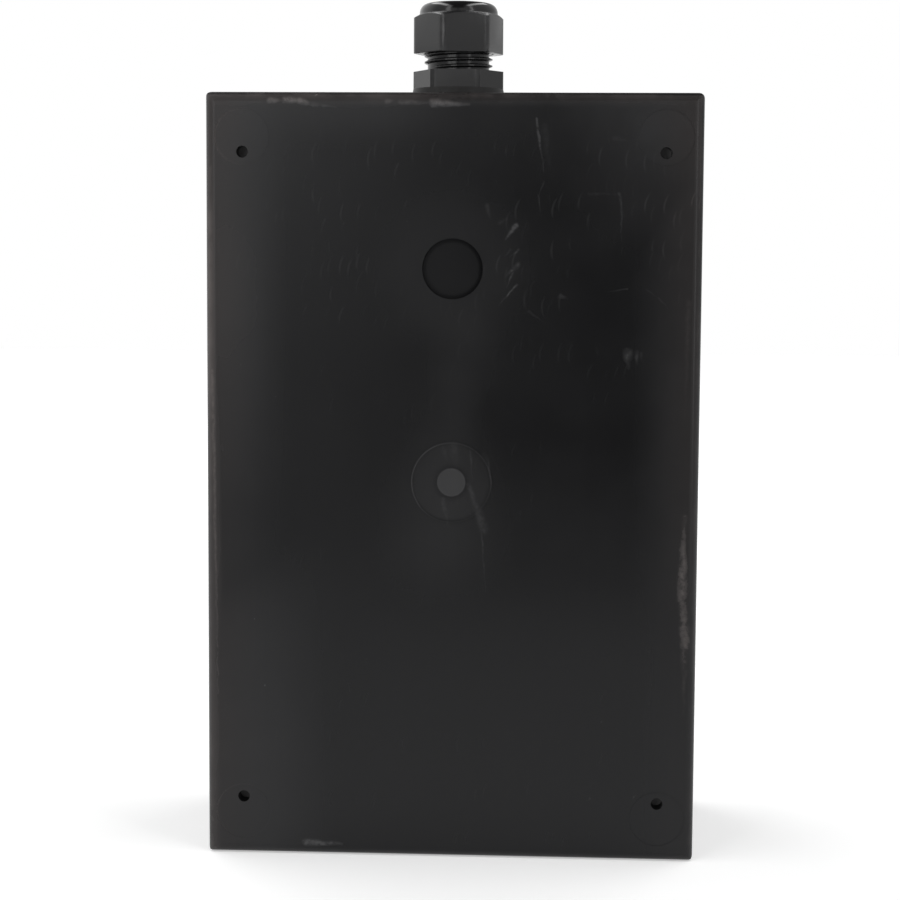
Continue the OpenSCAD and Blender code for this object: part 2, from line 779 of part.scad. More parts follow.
module power_inductor() {
    coil_w = 12.5;
    coil_d = 7;
    dish_r = 0.36 * coil_w;
    dish_depth = 0.8;
    color("#333336")
    difference() {
        on_board(inductor_x, power_z, coil_w, coil_w, coil_d);
        rod_y([inductor_x, power_z], dish_r, board_top + coil_d - dish_depth, board_top + coil_d + overcut);
    }
}

module controller_chip() {
    chip = 14;
    chip_d = 1.5;
    dot_r = 0.8;
    dot_depth = 0.2;
    dot_place = [controller_x - chip / 3, power_z + chip / 3];
    color("#2a2a2c")
    difference() {
        on_board(controller_x, power_z, chip, chip, chip_d);
        rod_y(dot_place, dot_r, board_top + chip_d - dot_depth, board_top + chip_d + overcut, 32);
    }
}

well_r = 1.9;
well_floor = 3.4;
function terminal_place(k) =
    [terminal_x + (k - (terminal_poles - 1) / 2) * terminal_pitch, terminal_z - 0.8];

module terminal_block() {
    entry_w = 3.4;
    entry_h = 2.8;
    color("#2f7a4c")
    difference() {
        on_board(terminal_x, terminal_z, terminal_w, terminal_h, terminal_d);
        for (k = [0:terminal_poles - 1]) {
            rod_y(terminal_place(k), well_r, board_top + well_floor, board_top + terminal_d + overcut, 40);
            translate([terminal_place(k)[0] - entry_w / 2, board_top + 1.2, terminal_z + well_r])
                cube([entry_w, entry_h, terminal_h]);
        }
    }
}

module terminal_screws() {
    head_h = 2.6;
    slot_w = 0.7;
    floor_y = board_top + well_floor;
    color("#c8c9cb")
    for (k = [0:terminal_poles - 1]) difference() {
        rod_y(terminal_place(k), well_r - pin_gap, floor_y, floor_y + head_h, 40);
        translate([terminal_place(k)[0] - well_r, floor_y + head_h / 2, terminal_place(k)[1] - slot_w / 2])
            cube([2 * well_r, head_h, slot_w]);
    }
}

jack_base = 7;
jack_base_t = 1.7;
jack_r = 3.15;
jack_bore_r = 2.3;
jack_len = 9.5;
jack_sunk = 2.2;

module coax_jack() {
    rib_step = 1.2;
    rib_y = board_top + jack_base_t + 0.9;
    rib_depth = 0.25;
    color("#cfa84a")
    difference() {
        union() {
            on_board(jack_x, jack_z, jack_base, jack_base, jack_base_t);
            rod_y([jack_x, jack_z], jack_r - rib_depth, board_top, board_top + jack_len);
            for (k = [0:4])
                rod_y([jack_x, jack_z], jack_r, rib_y + k * rib_step, rib_y + (k + 0.5) * rib_step);
        }
        rod_y([jack_x, jack_z], jack_bore_r, board_top + jack_base_t, board_top + jack_len + overcut);
    }
}

module jack_insulator() {
    contact_r = 0.65;
    foot_y = board_top + jack_base_t;
    color("#ece9e0")
    difference() {
        rod_y([jack_x, jack_z], jack_bore_r - pin_gap / 2, foot_y, board_top + jack_len - jack_sunk);
        rod_y([jack_x, jack_z], contact_r, foot_y + contact_r * 3, board_top + jack_len);
    }
}

function lever_x(k) = dip_x + (k - (dip_ways + 1) / 2) * dip_pitch;
lever_z = dip_z - dip_travel / 2;

module dip_switch() {
    slot_h = lever_h + dip_travel + 2 * lever_gap;
    slot_w = lever_w + 2 * lever_gap;
    slot_y = board_top + dip_d - lever_sunk - lever_gap;
    color("#a8231f")
    difference() {
        on_board(dip_x, dip_z, dip_w, dip_h, dip_d);
        for (k = [1:dip_ways])
            translate([lever_x(k) - slot_w / 2, slot_y, dip_z - slot_h / 2]) cube([slot_w, dip_d, slot_h]);
    }
}

// One lever of the gain switch, at the lower end of its slot
module dip_lever(k) {
    color("#efefec")
    translate([lever_x(k) - lever_w / 2, board_top + dip_d - lever_sunk, lever_z - lever_h / 2])
        cube([lever_w, lever_sunk + lever_proud, lever_h]);
}

module status_leds() {
    led_r = 1.5;
    led_rim_r = 1.9;
    led_h = 3.2;
    color("#7bd46a")
    for (k = [0:3]) {
        place = [dip_x + (k - 1.5) * led_pitch, led_z];
        union() {
            rod_y(place, led_rim_r, board_top, board_top + 1, 32);
            rod_y(place, led_r, board_top, board_top + led_h, 32);
            translate([place[0], board_top + led_h, place[1]]) sphere(led_r, $fn = 32);
        }
    }
}

// Antenna

module antenna_reflector() {
    color("#c4c6c9")
    difference() {
        slab(reflector_y, reflector_y + reflector_t) translate([0, reflector_z0])
            rounded_rect(board_w, reflector_h, corner_r);
        for (p = concat(reflector_holes, patch_posts))
            rod_y(p, hole_r, reflector_y - overcut, reflector_y + reflector_t + overcut, 40);
        rod_y([0, feed_z], bush_r + pin_gap / 2, reflector_y - overcut, reflector_y + reflector_t + overcut);
    }
}

// Tall hexagonal spacers with a stud below and a tapped hole above
module reflector_spacers() {
    color("#c2a14d")
    for (p = reflector_holes) difference() {
        union() {
            rod_y(p, spacer_af / sqrt(3), board_top, reflector_y, 6);
            rod_y(p, m3_r, board_y - spacer_bite, board_top + overcut, 40);
        }
        rod_y(p, hole_r, reflector_y - tapped_depth, reflector_y + overcut, 40);
    }
}

module reflector_screws() {
    color("#c8c9cb")
    for (p = reflector_holes) m3_screw(p, reflector_y + reflector_t, reflector_t + tapped_depth - overcut);
}

module antenna_patch() {
    color("#b98a4e")
    difference() {
        slab(patch_y, patch_y + patch_t) translate([0, antenna_z]) polygon([
            [-patch_w / 2, -patch_h / 2 + patch_cut], [-patch_w / 2 + patch_cut, -patch_h / 2],
            [patch_w / 2, -patch_h / 2], [patch_w / 2, patch_h / 2 - patch_cut],
            [patch_w / 2 - patch_cut, patch_h / 2], [-patch_w / 2, patch_h / 2]
        ]);
        for (p = patch_posts) rod_y(p, hole_r, patch_y - overcut, patch_y + patch_t + overcut, 40);
        rod_y([0, feed_z], feed_r + pin_gap, patch_y - overcut, patch_y + patch_t + overcut, 32);
    }
}

module patch_spacers() {
    color("#e9e7df")
    for (p = patch_posts) difference() {
        rod_y(p, patch_post_r, reflector_y + reflector_t, patch_y);
        rod_y(p, hole_r, reflector_y, patch_y + overcut, 40);
    }
}

module patch_screws() {
    color("#e9e7df")
    for (p = patch_posts) m3_screw(p, patch_y + patch_t, patch_t + patch_rise + reflector_t + overcut);
}

module feed_pin() {
    solder_r = 1.5;
    solder_h = 0.7;
    color("#c9a24a")
    union() {
        rod_y([0, feed_z], feed_r, board_top, patch_y + patch_t + solder_h, 32);
        rod_y([0, feed_z], solder_r, patch_y + patch_t, patch_y + patch_t + solder_h, 32);
        rod_y([0, feed_z], solder_r, board_top, board_top + solder_h, 32);
    }
}

module feed_bush() {
    bush_len = 4;
    rim_t = 0.8;
    rim_r = bush_r + 1;
    color("#ece9e0")
    difference() {
        union() {
            rod_y([0, feed_z], bush_r, reflector_y - bush_len, reflector_y + reflector_t);
            rod_y([0, feed_z], rim_r, reflector_y + reflector_t, reflector_y + reflector_t + rim_t);
        }
        rod_y([0, feed_z], feed_r + pin_gap / 2, reflector_y - bush_len - overcut,
              reflector_y + reflector_t + rim_t + overcut, 32);
    }
}

rear_housing();
front_cover();
cover_gasket();
cover_screw(1);  // cover_screw_1
cover_screw(2);  // cover_screw_2
cover_screw(3);  // cover_screw_3
cover_screw(4);  // cover_screw_4
screw_washer(1);  // screw_washer_1
screw_washer(2);  // screw_washer_2
screw_washer(3);  // screw_washer_3
screw_washer(4);  // screw_washer_4
gland_body();
gland_nut();
gland_seal();
gland_washer();
gland_locknut();
chassis_plate();
chassis_screws();
board_spacers();
spacer_screws();
main_board();
board_screws();
thermal_pads();
shield(-shield_x);  // uplink_shield
shield(shield_x);  // downlink_shield
amplifier_chips();
duplexer(-duplexer_x);  // donor_duplexer
duplexer(duplexer_x);  // server_duplexer
tuning_screws();
filter_capacitors();
power_inductor();
controller_chip();
terminal_block();
terminal_screws();
coax_jack();
jack_insulator();
dip_switch();
dip_lever(1);  // dip_lever_1
dip_lever(2);  // dip_lever_2
dip_lever(3);  // dip_lever_3
dip_lever(4);  // dip_lever_4
status_leds();
antenna_reflector();
reflector_spacers();
reflector_screws();
antenna_patch();
patch_spacers();
patch_screws();
feed_pin();
feed_bush();
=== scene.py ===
import math

import bpy
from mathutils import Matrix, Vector


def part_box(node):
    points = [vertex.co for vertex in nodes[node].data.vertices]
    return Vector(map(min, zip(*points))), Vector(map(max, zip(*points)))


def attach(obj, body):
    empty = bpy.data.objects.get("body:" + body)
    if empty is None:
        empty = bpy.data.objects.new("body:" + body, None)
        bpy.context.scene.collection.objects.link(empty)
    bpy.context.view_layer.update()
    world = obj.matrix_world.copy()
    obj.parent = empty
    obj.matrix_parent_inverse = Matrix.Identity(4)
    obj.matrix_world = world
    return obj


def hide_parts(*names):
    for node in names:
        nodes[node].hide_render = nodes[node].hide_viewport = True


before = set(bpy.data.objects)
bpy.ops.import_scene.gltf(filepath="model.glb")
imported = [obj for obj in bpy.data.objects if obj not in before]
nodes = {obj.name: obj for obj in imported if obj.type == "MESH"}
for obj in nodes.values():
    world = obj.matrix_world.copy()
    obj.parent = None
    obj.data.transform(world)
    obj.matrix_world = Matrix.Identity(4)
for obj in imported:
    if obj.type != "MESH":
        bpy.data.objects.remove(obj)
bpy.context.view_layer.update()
bpy.ops.object.select_all(action="DESELECT")

# Camera
# A short telephoto lens stands a little to the right of the case and above its middle, square to the
# mounting face, with the case filling the picture.
camera_data = bpy.data.cameras.new("camera")
camera_data.lens = 86.06
camera_data.sensor_width = 36.0
camera = bpy.data.objects.new("camera", camera_data)
camera.location = (0.0347, -0.6868, 0.1886)
camera.rotation_euler = (math.radians(84.537), math.radians(-0.344), math.radians(3.128))
bpy.context.scene.collection.objects.link(camera)
bpy.context.scene.camera = camera
bpy.context.scene.view_settings.view_transform = "Standard"

# Stage
# A white table lit from below, in a pale room that is brighter on the left and dim behind the camera and
# overhead. Two strip lights hang along the ceiling and two stand upright on either side of the camera.
bpy.ops.mesh.primitive_plane_add(size=1.0, location=(0.0, 1.25, 0.0))
floor = bpy.context.object
floor.name = "floor"
floor.scale = (6.0, 3.6, 1.0)
bpy.ops.object.transform_apply(location=True, rotation=True, scale=True)
floor_paint = bpy.data.materials.new("white_table")
floor_paint.use_nodes = True
table_shader = floor_paint.node_tree.nodes["Principled BSDF"]
table_shader.inputs["Base Color"].default_value = (0.85, 0.85, 0.85, 1.0)
table_shader.inputs["Roughness"].default_value = 0.7
table_shader.inputs["Emission Strength"].default_value = 0.6
floor.data.materials.append(floor_paint)


def wire(tree, kind, sockets=None, **settings):
    made = tree.nodes.new("ShaderNode" + kind)
    for key, value in settings.items():
        setattr(made, key, value)
    for key, value in (sockets or {}).items():
        if isinstance(value, bpy.types.NodeSocket):
            tree.links.new(value, made.inputs[key])
        else:
            made.inputs[key].default_value = value
    return made


def calc(tree, operation, *values):
    made = wire(tree, "Math", dict(enumerate(values[:2])), operation=operation).outputs[0]
    for value in values[2:]:
        made = wire(tree, "Math", {0: made, 1: value}, operation=operation).outputs[0]
    return made


def ease(tree, value, low, high, start=0.0, end=1.0):
    sockets = {"Value": value, "From Min": low, "From Max": high, "To Min": start, "To Max": end}
    return wire(tree, "MapRange", sockets, interpolation_type="SMOOTHSTEP").outputs["Result"]


def vector(tree, operation, *values):
    made = wire(tree, "VectorMath", dict(enumerate(values)), operation=operation)
    return made.outputs["Value" if operation in ("DOT_PRODUCT", "LENGTH", "DISTANCE") else "Vector"]


def axes(tree, place):
    return wire(tree, "SeparateXYZ", {0: place}).outputs


def joined(tree, *values):
    return wire(tree, "CombineXYZ", dict(enumerate(values))).outputs[0]


def feed(tree, value, shader, socket="Base Color"):
    tree.links.new(value, shader.inputs[socket])


table = floor_paint.node_tree
table_depth = axes(table, wire(table, "TexCoord").outputs["Object"])["Y"]
far_glow = ease(table, table_depth, 0.2, 1.0, 0.6, 1.0)
near_glow = ease(table, table_depth, -0.25, -0.07, 0.55, 1.0)
feed(table, calc(table, "MULTIPLY", far_glow, near_glow), table_shader, "Emission Color")
room = bpy.data.worlds.new("pale_room")
bpy.context.scene.world = room
room.use_nodes = True
sky = room.node_tree
sky.nodes.clear()
sky_way = wire(sky, "TexCoord").outputs["Generated"]
sky_axis = axes(sky, sky_way)

# Behind the camera the room is dim, in a patch with its own reach sideways, downwards and upwards
sky_depth = calc(sky, "MAXIMUM", calc(sky, "MULTIPLY", sky_axis["Y"], -1.0), 0.02)
sky_across = calc(sky, "SUBTRACT", calc(sky, "DIVIDE", sky_axis["X"], sky_depth), 0.014)
sky_rise = calc(sky, "ADD", calc(sky, "DIVIDE", sky_axis["Z"], sky_depth), 0.04)
dim_across = calc(sky, "DIVIDE", sky_across, 0.085)
dim_below = calc(sky, "DIVIDE", calc(sky, "MINIMUM", sky_rise, 0.0), 0.13)
dim_above = calc(sky, "DIVIDE", calc(sky, "MAXIMUM", sky_rise, 0.0), 0.5)
dim_far = vector(sky, "LENGTH", joined(sky, dim_across, dim_below, dim_above))
dim_patch = ease(sky, dim_far, 1.5, 0.45, 0.0, 0.96)

# It is brighter to the left of the camera and to the left behind the case, and dim again overhead
room_level = 0.63
glow_across = calc(sky, "DIVIDE", calc(sky, "ADD", sky_across, 0.27), 0.20)
glow_rise = calc(sky, "DIVIDE", calc(sky, "SUBTRACT", sky_rise, 0.14), 0.13)
glow_far = vector(sky, "LENGTH", joined(sky, glow_across, glow_rise))
front_glow = ease(sky, glow_far, 1.2, 0.3, 0.0, 2.1)
back_left = vector(sky, "DOT_PRODUCT", sky_way, (-0.80, 0.55, 0.22))
high_up = ease(sky, sky_axis["Z"], 0.35, 0.6)
mid_way = ease(sky, calc(sky, "ABSOLUTE", sky_axis["X"]), 0.42, 0.18)
overhead = calc(sky, "MULTIPLY", high_up, mid_way)
room_glow = calc(sky, "ADD", ease(sky, back_left, 0.6, 0.95, 0.0, 0.45), front_glow, room_level)
room_glow = calc(sky, "MULTIPLY", room_glow, calc(sky, "SUBTRACT", 1.0, dim_patch))
room_glow = calc(sky, "MULTIPLY", room_glow, ease(sky, overhead, 0.0, 1.0, 1.0, 0.1))
plain_white = (1.0, 1.0, 1.0, 1.0)
room_light = wire(sky, "Background", {"Color": plain_white, "Strength": room_glow})
room_seen = wire(sky, "Background", {"Color": plain_white, "Strength": 1.0})
room_mix = wire(sky, "MixShader", {0: wire(sky, "LightPath").outputs["Is Camera Ray"],
                                   1: room_light.outputs[0], 2: room_seen.outputs[0]})
wire(sky, "OutputWorld", {"Surface": room_mix.outputs[0]})

for name, place, target, width, length, power in (
        ("ceiling_strip_left", (-0.62, 0.3, 1.45), (-0.62, 0.3, 0.0), 0.3, 2.0, 8.0),
        ("ceiling_strip_right", (0.62, 0.3, 1.45), (0.62, 0.3, 0.0), 0.3, 2.0, 8.0),
        ("upright_strip_left", (-0.72, -1.28, 1.1), (0.0, 0.0, 1.1), 0.35, 2.2, 4.0),
        ("upright_strip_right", (1.0, -1.06, 1.1), (0.0, 0.0, 1.1), 0.2, 2.2, 3.0)):
    strip_data = bpy.data.lights.new(name, "AREA")
    strip_data.shape = "RECTANGLE"
    strip_data.size = width
    strip_data.size_y = length
    strip_data.energy = power
    strip = bpy.data.objects.new(name, strip_data)
    strip.location = place
    strip.rotation_euler = (Vector(target) - Vector(place)).to_track_quat("-Z", "Y").to_euler()
    strip.visible_camera = False
    bpy.context.scene.collection.objects.link(strip)

# Rear housing
# A tub moulded in black ABS with a semi-gloss skin; everything else is fixed in it. Its back face is hazed
# along the border, partly in painted reflection, and scuffed by handling; the mould inserts show as faint
# circles in painted highlight, and its rounded left and top edges carry a painted highlight.


def start_finish(name, roughness, metallic=0.0):
    finish = bpy.data.materials.new(name)
    finish.use_nodes = True
    shader = finish.node_tree.nodes["Principled BSDF"]
    shader.inputs["Roughness"].default_value = roughness
    shader.inputs["Metallic"].default_value = metallic
    place = wire(finish.node_tree, "TexCoord").outputs["Object"]
    return finish, finish.node_tree, shader, place


def start_group(name, inputs, outputs):
    group = bpy.data.node_groups.new(name, "ShaderNodeTree")
    for label, kind in inputs.items():
        group.interface.new_socket(name=label, in_out="INPUT", socket_type="NodeSocket" + kind)
    for label in outputs:
        group.interface.new_socket(name=label, in_out="OUTPUT", socket_type="NodeSocketFloat")
    return group, group.nodes.new("NodeGroupInput").outputs, group.nodes.new("NodeGroupOutput").inputs


def apply_group(tree, group, sockets):
    return wire(tree, "Group", sockets, node_tree=group).outputs


def scaled(tree, place, scale):
    return wire(tree, "VectorMath", {0: place, "Scale": scale}, operation="SCALE").outputs[0]


def channels(tree, colour):
    return wire(tree, "SeparateColor", {0: colour}).outputs


def noise(tree, place, scale, detail=2.0, roughness=0.5, output="Fac"):
    sockets = {"Vector": place, "Scale": scale, "Detail": detail, "Roughness": roughness}
    return wire(tree, "TexNoise", sockets).outputs[output]


def mix(tree, amount, first, second):
    return wire(tree, "Mix", {0: amount, 6: first, 7: second}, data_type="RGBA").outputs[2]


def paint(piece, finish):
    piece.data.materials.clear()
    piece.data.materials.append(finish)


def dress(finish, *names):
    for name in names:
        paint(nodes[name], finish)


def bump(tree, shader, height, strength, distance):
    lifted = wire(tree, "Bump", {"Height": height, "Strength": strength, "Distance": distance})
    feed(tree, lifted.outputs["Normal"], shader, "Normal")


# A rubbed stroke between two points of the face, thinner and fainter towards its end
line_mark, given, out = start_group(
    "line_mark", {"Vector": "Vector", "From": "Vector", "Along": "Vector", "Slope": "Vector",
                  "Width": "Float", "Tip": "Float", "Strength": "Float", "Fade": "Float"}, ["Mask"])
reach = vector(line_mark, "SUBTRACT", given["Vector"], given["From"])
part = wire(line_mark, "Clamp", {0: vector(line_mark, "DOT_PRODUCT", reach, given["Slope"])}).outputs[0]
foot = scaled(line_mark, given["Along"], part)
away = vector(line_mark, "DISTANCE", reach, foot)
wide = ease(line_mark, part, 0.1, 1.0, given["Width"], given["Tip"])
high = ease(line_mark, part, 0.3, 1.0, given["Strength"], given["Fade"])
line_mark.links.new(ease(line_mark, away, wide, 0.0, 0.0, high), out["Mask"])
per_metre = 1000.0
tip_share = 0.45
fade_share = 0.3


def rubbed(tree, where, x0, z0, x1, z1, width, strength):
    start = Vector((x0, 0.0, z0)) / per_metre
    along = Vector((x1, 0.0, z1)) / per_metre - start
    return apply_group(tree, line_mark, {
        "Vector": where, "From": start, "Along": along, "Slope": along / along.length_squared,
        "Width": width / per_metre, "Tip": width * tip_share / per_metre,
        "Strength": strength, "Fade": strength * fade_share})["Mask"]


# A thin circle on the face
ring_mark, given, out = start_group(
    "ring_mark", {"Vector": "Vector", "Centre": "Vector", "Radius": "Float", "Width": "Float"}, ["Mask"])
from_centre = vector(ring_mark, "DISTANCE", given["Vector"], given["Centre"])
away = calc(ring_mark, "SUBTRACT", from_centre, given["Radius"])
ring_mark.links.new(ease(ring_mark, calc(ring_mark, "ABSOLUTE", away), given["Width"], 0.0), out["Mask"])

# Wear along the edges of a box-shaped piece: where two of the three distances to its sides are small
edge_rub, given, out = start_group(
    "edge_rub", {"Vector": "Vector", "Low": "Vector", "High": "Vector", "Reach": "Float"}, ["Mask"])
inside = vector(edge_rub, "MINIMUM", vector(edge_rub, "SUBTRACT", given["Vector"], given["Low"]),
                vector(edge_rub, "SUBTRACT", given["High"], given["Vector"]))
gap = axes(edge_rub, inside)
less = calc(edge_rub, "MINIMUM", gap["X"], gap["Y"])
more = calc(edge_rub, "MAXIMUM", gap["X"], gap["Y"])
middle_gap = calc(edge_rub, "MAXIMUM", less, calc(edge_rub, "MINIMUM", more, gap["Z"]))
patchy = ease(edge_rub, noise(edge_rub, given["Vector"], 140.0, 4.0, 0.6), 0.42, 0.68)
near_edge = ease(edge_rub, middle_gap, given["Reach"], 0.0)
edge_rub.links.new(calc(edge_rub, "MULTIPLY", near_edge, patchy), out["Mask"])


def rubbed_edges(tree, place, low, high, reach):
    sockets = {"Vector": place, "Low": low, "High": high, "Reach": reach}
    return apply_group(tree, edge_rub, sockets)["Mask"]


# Skin of a moulded plastic piece: fine grain, slow clouds and long flow streaks down the piece
moulded_skin, given, out = start_group("moulded_skin", {"Vector": "Vector", "Scale": "Float"},
                                       ["Grain", "Cloud", "Streak"])
sized = scaled(moulded_skin, given["Vector"], given["Scale"])
moulded_skin.links.new(noise(moulded_skin, sized, 2600.0, 3.0, 0.6), out["Grain"])
moulded_skin.links.new(noise(moulded_skin, sized, 22.0, 4.0, 0.55), out["Cloud"])
drawn = vector(moulded_skin, "MULTIPLY", sized, (700.0, 700.0, 14.0))
moulded_skin.links.new(noise(moulded_skin, drawn, 1.0, 3.0, 0.6), out["Streak"])

case_finish, tree, shader, place = start_finish("black_abs", 0.2)
shader.inputs["Specular IOR Level"].default_value = 0.25
shader.inputs["Specular Tint"].default_value = (0.98, 0.985, 1.0, 1.0)
flat = vector(tree, "MULTIPLY", place, (1.0, 0.0, 1.0))
at = axes(tree, place)
on_back = ease(tree, at["Y"], -0.0364, -0.0368)
skin = apply_group(tree, moulded_skin, {"Vector": place, "Scale": 1.0})

# Scuffs and scratches, from and to in millimetres across and up the face, then width and strength
scuffs = [
    (24.9, 226.2, 27.3, 210.6, 0.65, 0.098), (27.3, 223.7, 28.6, 213.0, 1.6, 0.022),
    (27.2, 207.4, 25.5, 203.1, 0.4, 0.041), (25.5, 203.4, 26.2, 198.2, 0.4, 0.041),
    (40.8, 203.9, 49.8, 203.7, 0.7, 0.022), (49.8, 204.0, 51.2, 197.0, 0.8, 0.038),
    (50.4, 203.0, 50.9, 186.0, 0.45, 0.041), (19.1, 194.3, 15.8, 190.3, 1.1, 0.128),
    (20.1, 187.2, 17.3, 185.0, 0.6, 0.041), (17.5, 187.2, 15.7, 185.3, 0.6, 0.038),
    (19.6, 182.6, 16.0, 179.0, 1.2, 0.064), (18.4, 180.0, 16.2, 175.8, 0.6, 0.064),
    (19.4, 176.4, 13.8, 170.3, 0.55, 0.090), (10.2, 200.0, 11.3, 196.4, 1.2, 0.034),
    (14.0, 195.0, 16.3, 196.2, 0.9, 0.026), (32.3, 173.3, 34.6, 172.6, 1.1, 0.045),
    (52.6, 175.4, 46.4, 174.5, 0.4, 0.038), (58.2, 175.4, 62.4, 172.6, 0.4, 0.026),
    (62.0, 173.0, 64.8, 169.6, 0.45, 0.030), (23.0, 168.6, 28.2, 165.0, 0.6, 0.022),
    (48.1, 220.4, 52.8, 219.6, 1.3, 0.017), (52.9, 156.7, 53.2, 151.8, 1.8, 0.070),
    (55.4, 156.5, 55.6, 153.2, 1.1, 0.052), (56.9, 156.2, 57.0, 154.2, 0.8, 0.042),
    (5.6, 126.2, 6.6, 116.4, 0.45, 0.030), (5.4, 115.6, 8.8, 107.0, 1.2, 0.040),
    (10.1, 102.2, 6.2, 113.6, 2.2, 0.046), (9.2, 103.4, 10.7, 82.5, 0.5, 0.040),
    (-2.5, 111.2, -1.0, 103.0, 1.1, 0.034), (-2.3, 126.4, -1.2, 123.4, 1.4, 0.022),
    (0.7, 127.2, 1.5, 121.9, 2.4, 0.022), (11.2, 122.6, 12.6, 112.4, 0.5, 0.045),
    (9.8, 124.8, 11.8, 121.0, 1.6, 0.014), (-55.2, 231.4, -52.0, 231.4, 1.3, 0.250),
    (-50.6, 231.5, -45.0, 231.2, 1.6, 0.260), (-46.5, 231.2, -42.0, 229.8, 1.5, 0.240),
    (-42.4, 230.2, -35.5, 229.4, 0.9, 0.075), (-19.8, 231.2, -18.0, 231.2, 1.0, 0.095),
    (-15.8, 230.9, -7.0, 230.8, 1.1, 0.095), (-6.2, 230.7, 4.8, 230.3, 1.7, 0.210),
    (-41.0, 233.4, -41.6, 232.4, 0.5, 0.300), (-73.4, 211.4, -73.6, 207.6, 1.0, 0.064),
    (-44.4, 3.8, -33.0, 3.5, 1.6, 0.150), (43.2, 19.4, 43.3, 19.2, 0.5, 0.105),
    (56.4, 20.0, 57.4, 21.0, 0.35, 0.068), (-57.0, 52.9, -56.8, 52.8, 0.5, 0.075),
    (70.4, 82.0, 70.7, 107.0, 2.1, 0.165), (71.5, 67.5, 70.3, 95.0, 2.0, 0.160),
    (71.4, 70.0, 71.5, 46.0, 1.5, 0.055), (70.9, 172.0, 70.6, 138.0, 1.2, 0.021),
    (-73.0, 150.0, -71.6, 50.0, 0.8, 0.095),
]
shift = vector(tree, "SUBTRACT", noise(tree, place, 210.0, 3.0, 0.55, "Color"), (0.5, 0.5, 0.5))
wobbly = vector(tree, "ADD", flat, vector(tree, "MULTIPLY", shift, (0.0018, 0.0, 0.0014)))
marks_and_highlights = rubbed(tree, wobbly, *scuffs[0])
for scuff in scuffs[1:]:
    marks_and_highlights = calc(tree, "MAXIMUM", marks_and_highlights, rubbed(tree, wobbly, *scuff))
broken = ease(tree, noise(tree, place, 620.0, 5.0, 0.7), 0.34, 0.64, 0.3, 1.2)
marks_and_highlights = calc(tree, "MULTIPLY", marks_and_highlights, broken)

# Circles: the lip of the gate dish and the witness lines of the mould inserts behind the pillars, drawn as a
# painted highlight where their edges catch the light, brighter at their left. Each has its place, radius and
# width in millimetres, its strength, and the share of it that is left below and at right
gate_z = 116.5
insert_x = 63.7
insert_low = 13.4
insert_high = 220.6
insert_radius = 8.35
for x, z, radius, width, strength, below, right in (
        (0.0, gate_z, 12.0, 0.4, 0.085, 0.25, 0.3),
        (-insert_x, insert_high, insert_radius, 0.45, 0.10, 0.8, 0.1),
        (insert_x, insert_high, insert_radius, 0.4, 0.012, 0.5, 0.3),
        (-insert_x, insert_low, insert_radius, 0.35, 0.055, 0.6, 0.3)):
    ring = apply_group(tree, ring_mark, {
        "Vector": flat, "Centre": (x / per_metre, 0.0, z / per_metre),
        "Radius": radius / per_metre, "Width": width / per_metre})["Mask"]
    leftwards = ease(tree, at["X"], (x + radius * 0.6) / per_metre, (x - radius) / per_metre, right, 1.0)
    upwards = ease(tree, at["Z"], (z - radius) / per_metre, (z - radius * 0.2) / per_metre, below, 1.0)
    ring_highlight = calc(tree, "MULTIPLY", leftwards, upwards)
    marks_and_highlights = calc(tree, "ADD", marks_and_highlights, calc(tree, "MULTIPLY", ring, ring_highlight, strength))

# Haze, partly real and partly painted reflection: strongest along the left border and in the upper corners;
# paler gate and paler round the knock-out
left_haze_and_sheen = calc(tree, "MULTIPLY", ease(tree, at["X"], -0.0470, -0.0700, 0.0, 0.059),
                 ease(tree, at["Z"], 0.090, 0.180, 0.3, 1.0))
low_haze_and_sheen = calc(tree, "MULTIPLY", ease(tree, at["X"], -0.0330, -0.0640, 0.0, 0.040),
                ease(tree, at["Z"], 0.105, 0.060))
left_haze_and_sheen = calc(tree, "MAXIMUM", left_haze_and_sheen, low_haze_and_sheen)
rim_haze_and_sheen = ease(tree, at["X"], -0.0685, -0.0730, 0.0, 0.075)
corner_haze_and_sheen = ease(tree, vector(tree, "DISTANCE", flat, (0.077, 0.0, 0.236)), 0.062, 0.010, 0.0, 0.062)
right_haze_and_sheen = calc(tree, "MULTIPLY", ease(tree, at["X"], 0.0520, 0.0720, 0.0, 0.044),
                  ease(tree, at["Z"], 0.060, 0.130, 0.2, 1.0))
top_away = calc(tree, "ABSOLUTE", calc(tree, "ADD", at["X"], 0.035))
top_haze_and_sheen = calc(tree, "MULTIPLY", ease(tree, at["Z"], 0.2150, 0.2320, 0.0, 0.038),
                ease(tree, top_away, 0.042, 0.012, 0.25, 1.0))
haze_and_sheen = calc(tree, "ADD", calc(tree, "MAXIMUM", left_haze_and_sheen, rim_haze_and_sheen, right_haze_and_sheen), top_haze_and_sheen)
haze_and_sheen = calc(tree, "MULTIPLY", calc(tree, "MAXIMUM", haze_and_sheen, corner_haze_and_sheen),
            ease(tree, skin["Cloud"], 0.25, 0.7, 0.75, 1.15))
gate_away = vector(tree, "DISTANCE", flat, (0.0, 0.0, gate_z / per_metre))
haze_and_sheen = calc(tree, "ADD", haze_and_sheen, ease(tree, gate_away, 0.0046, 0.0041, 0.0, 0.062))
haze_and_sheen = calc(tree, "ADD", haze_and_sheen, ease(tree, gate_away, 0.0125, 0.0110, 0.0, 0.012))
for x, pale in ((-insert_x, 0.006), (insert_x, 0.004)):
    insert_centre = (x / per_metre, 0.0, insert_high / per_metre)
    disc = ease(tree, vector(tree, "DISTANCE", flat, insert_centre), 0.0087, 0.0079, 0.0, pale)
    haze_and_sheen = calc(tree, "ADD", haze_and_sheen, disc)
knock_away = vector(tree, "DISTANCE", flat, (0.0, 0.0, 0.1812))
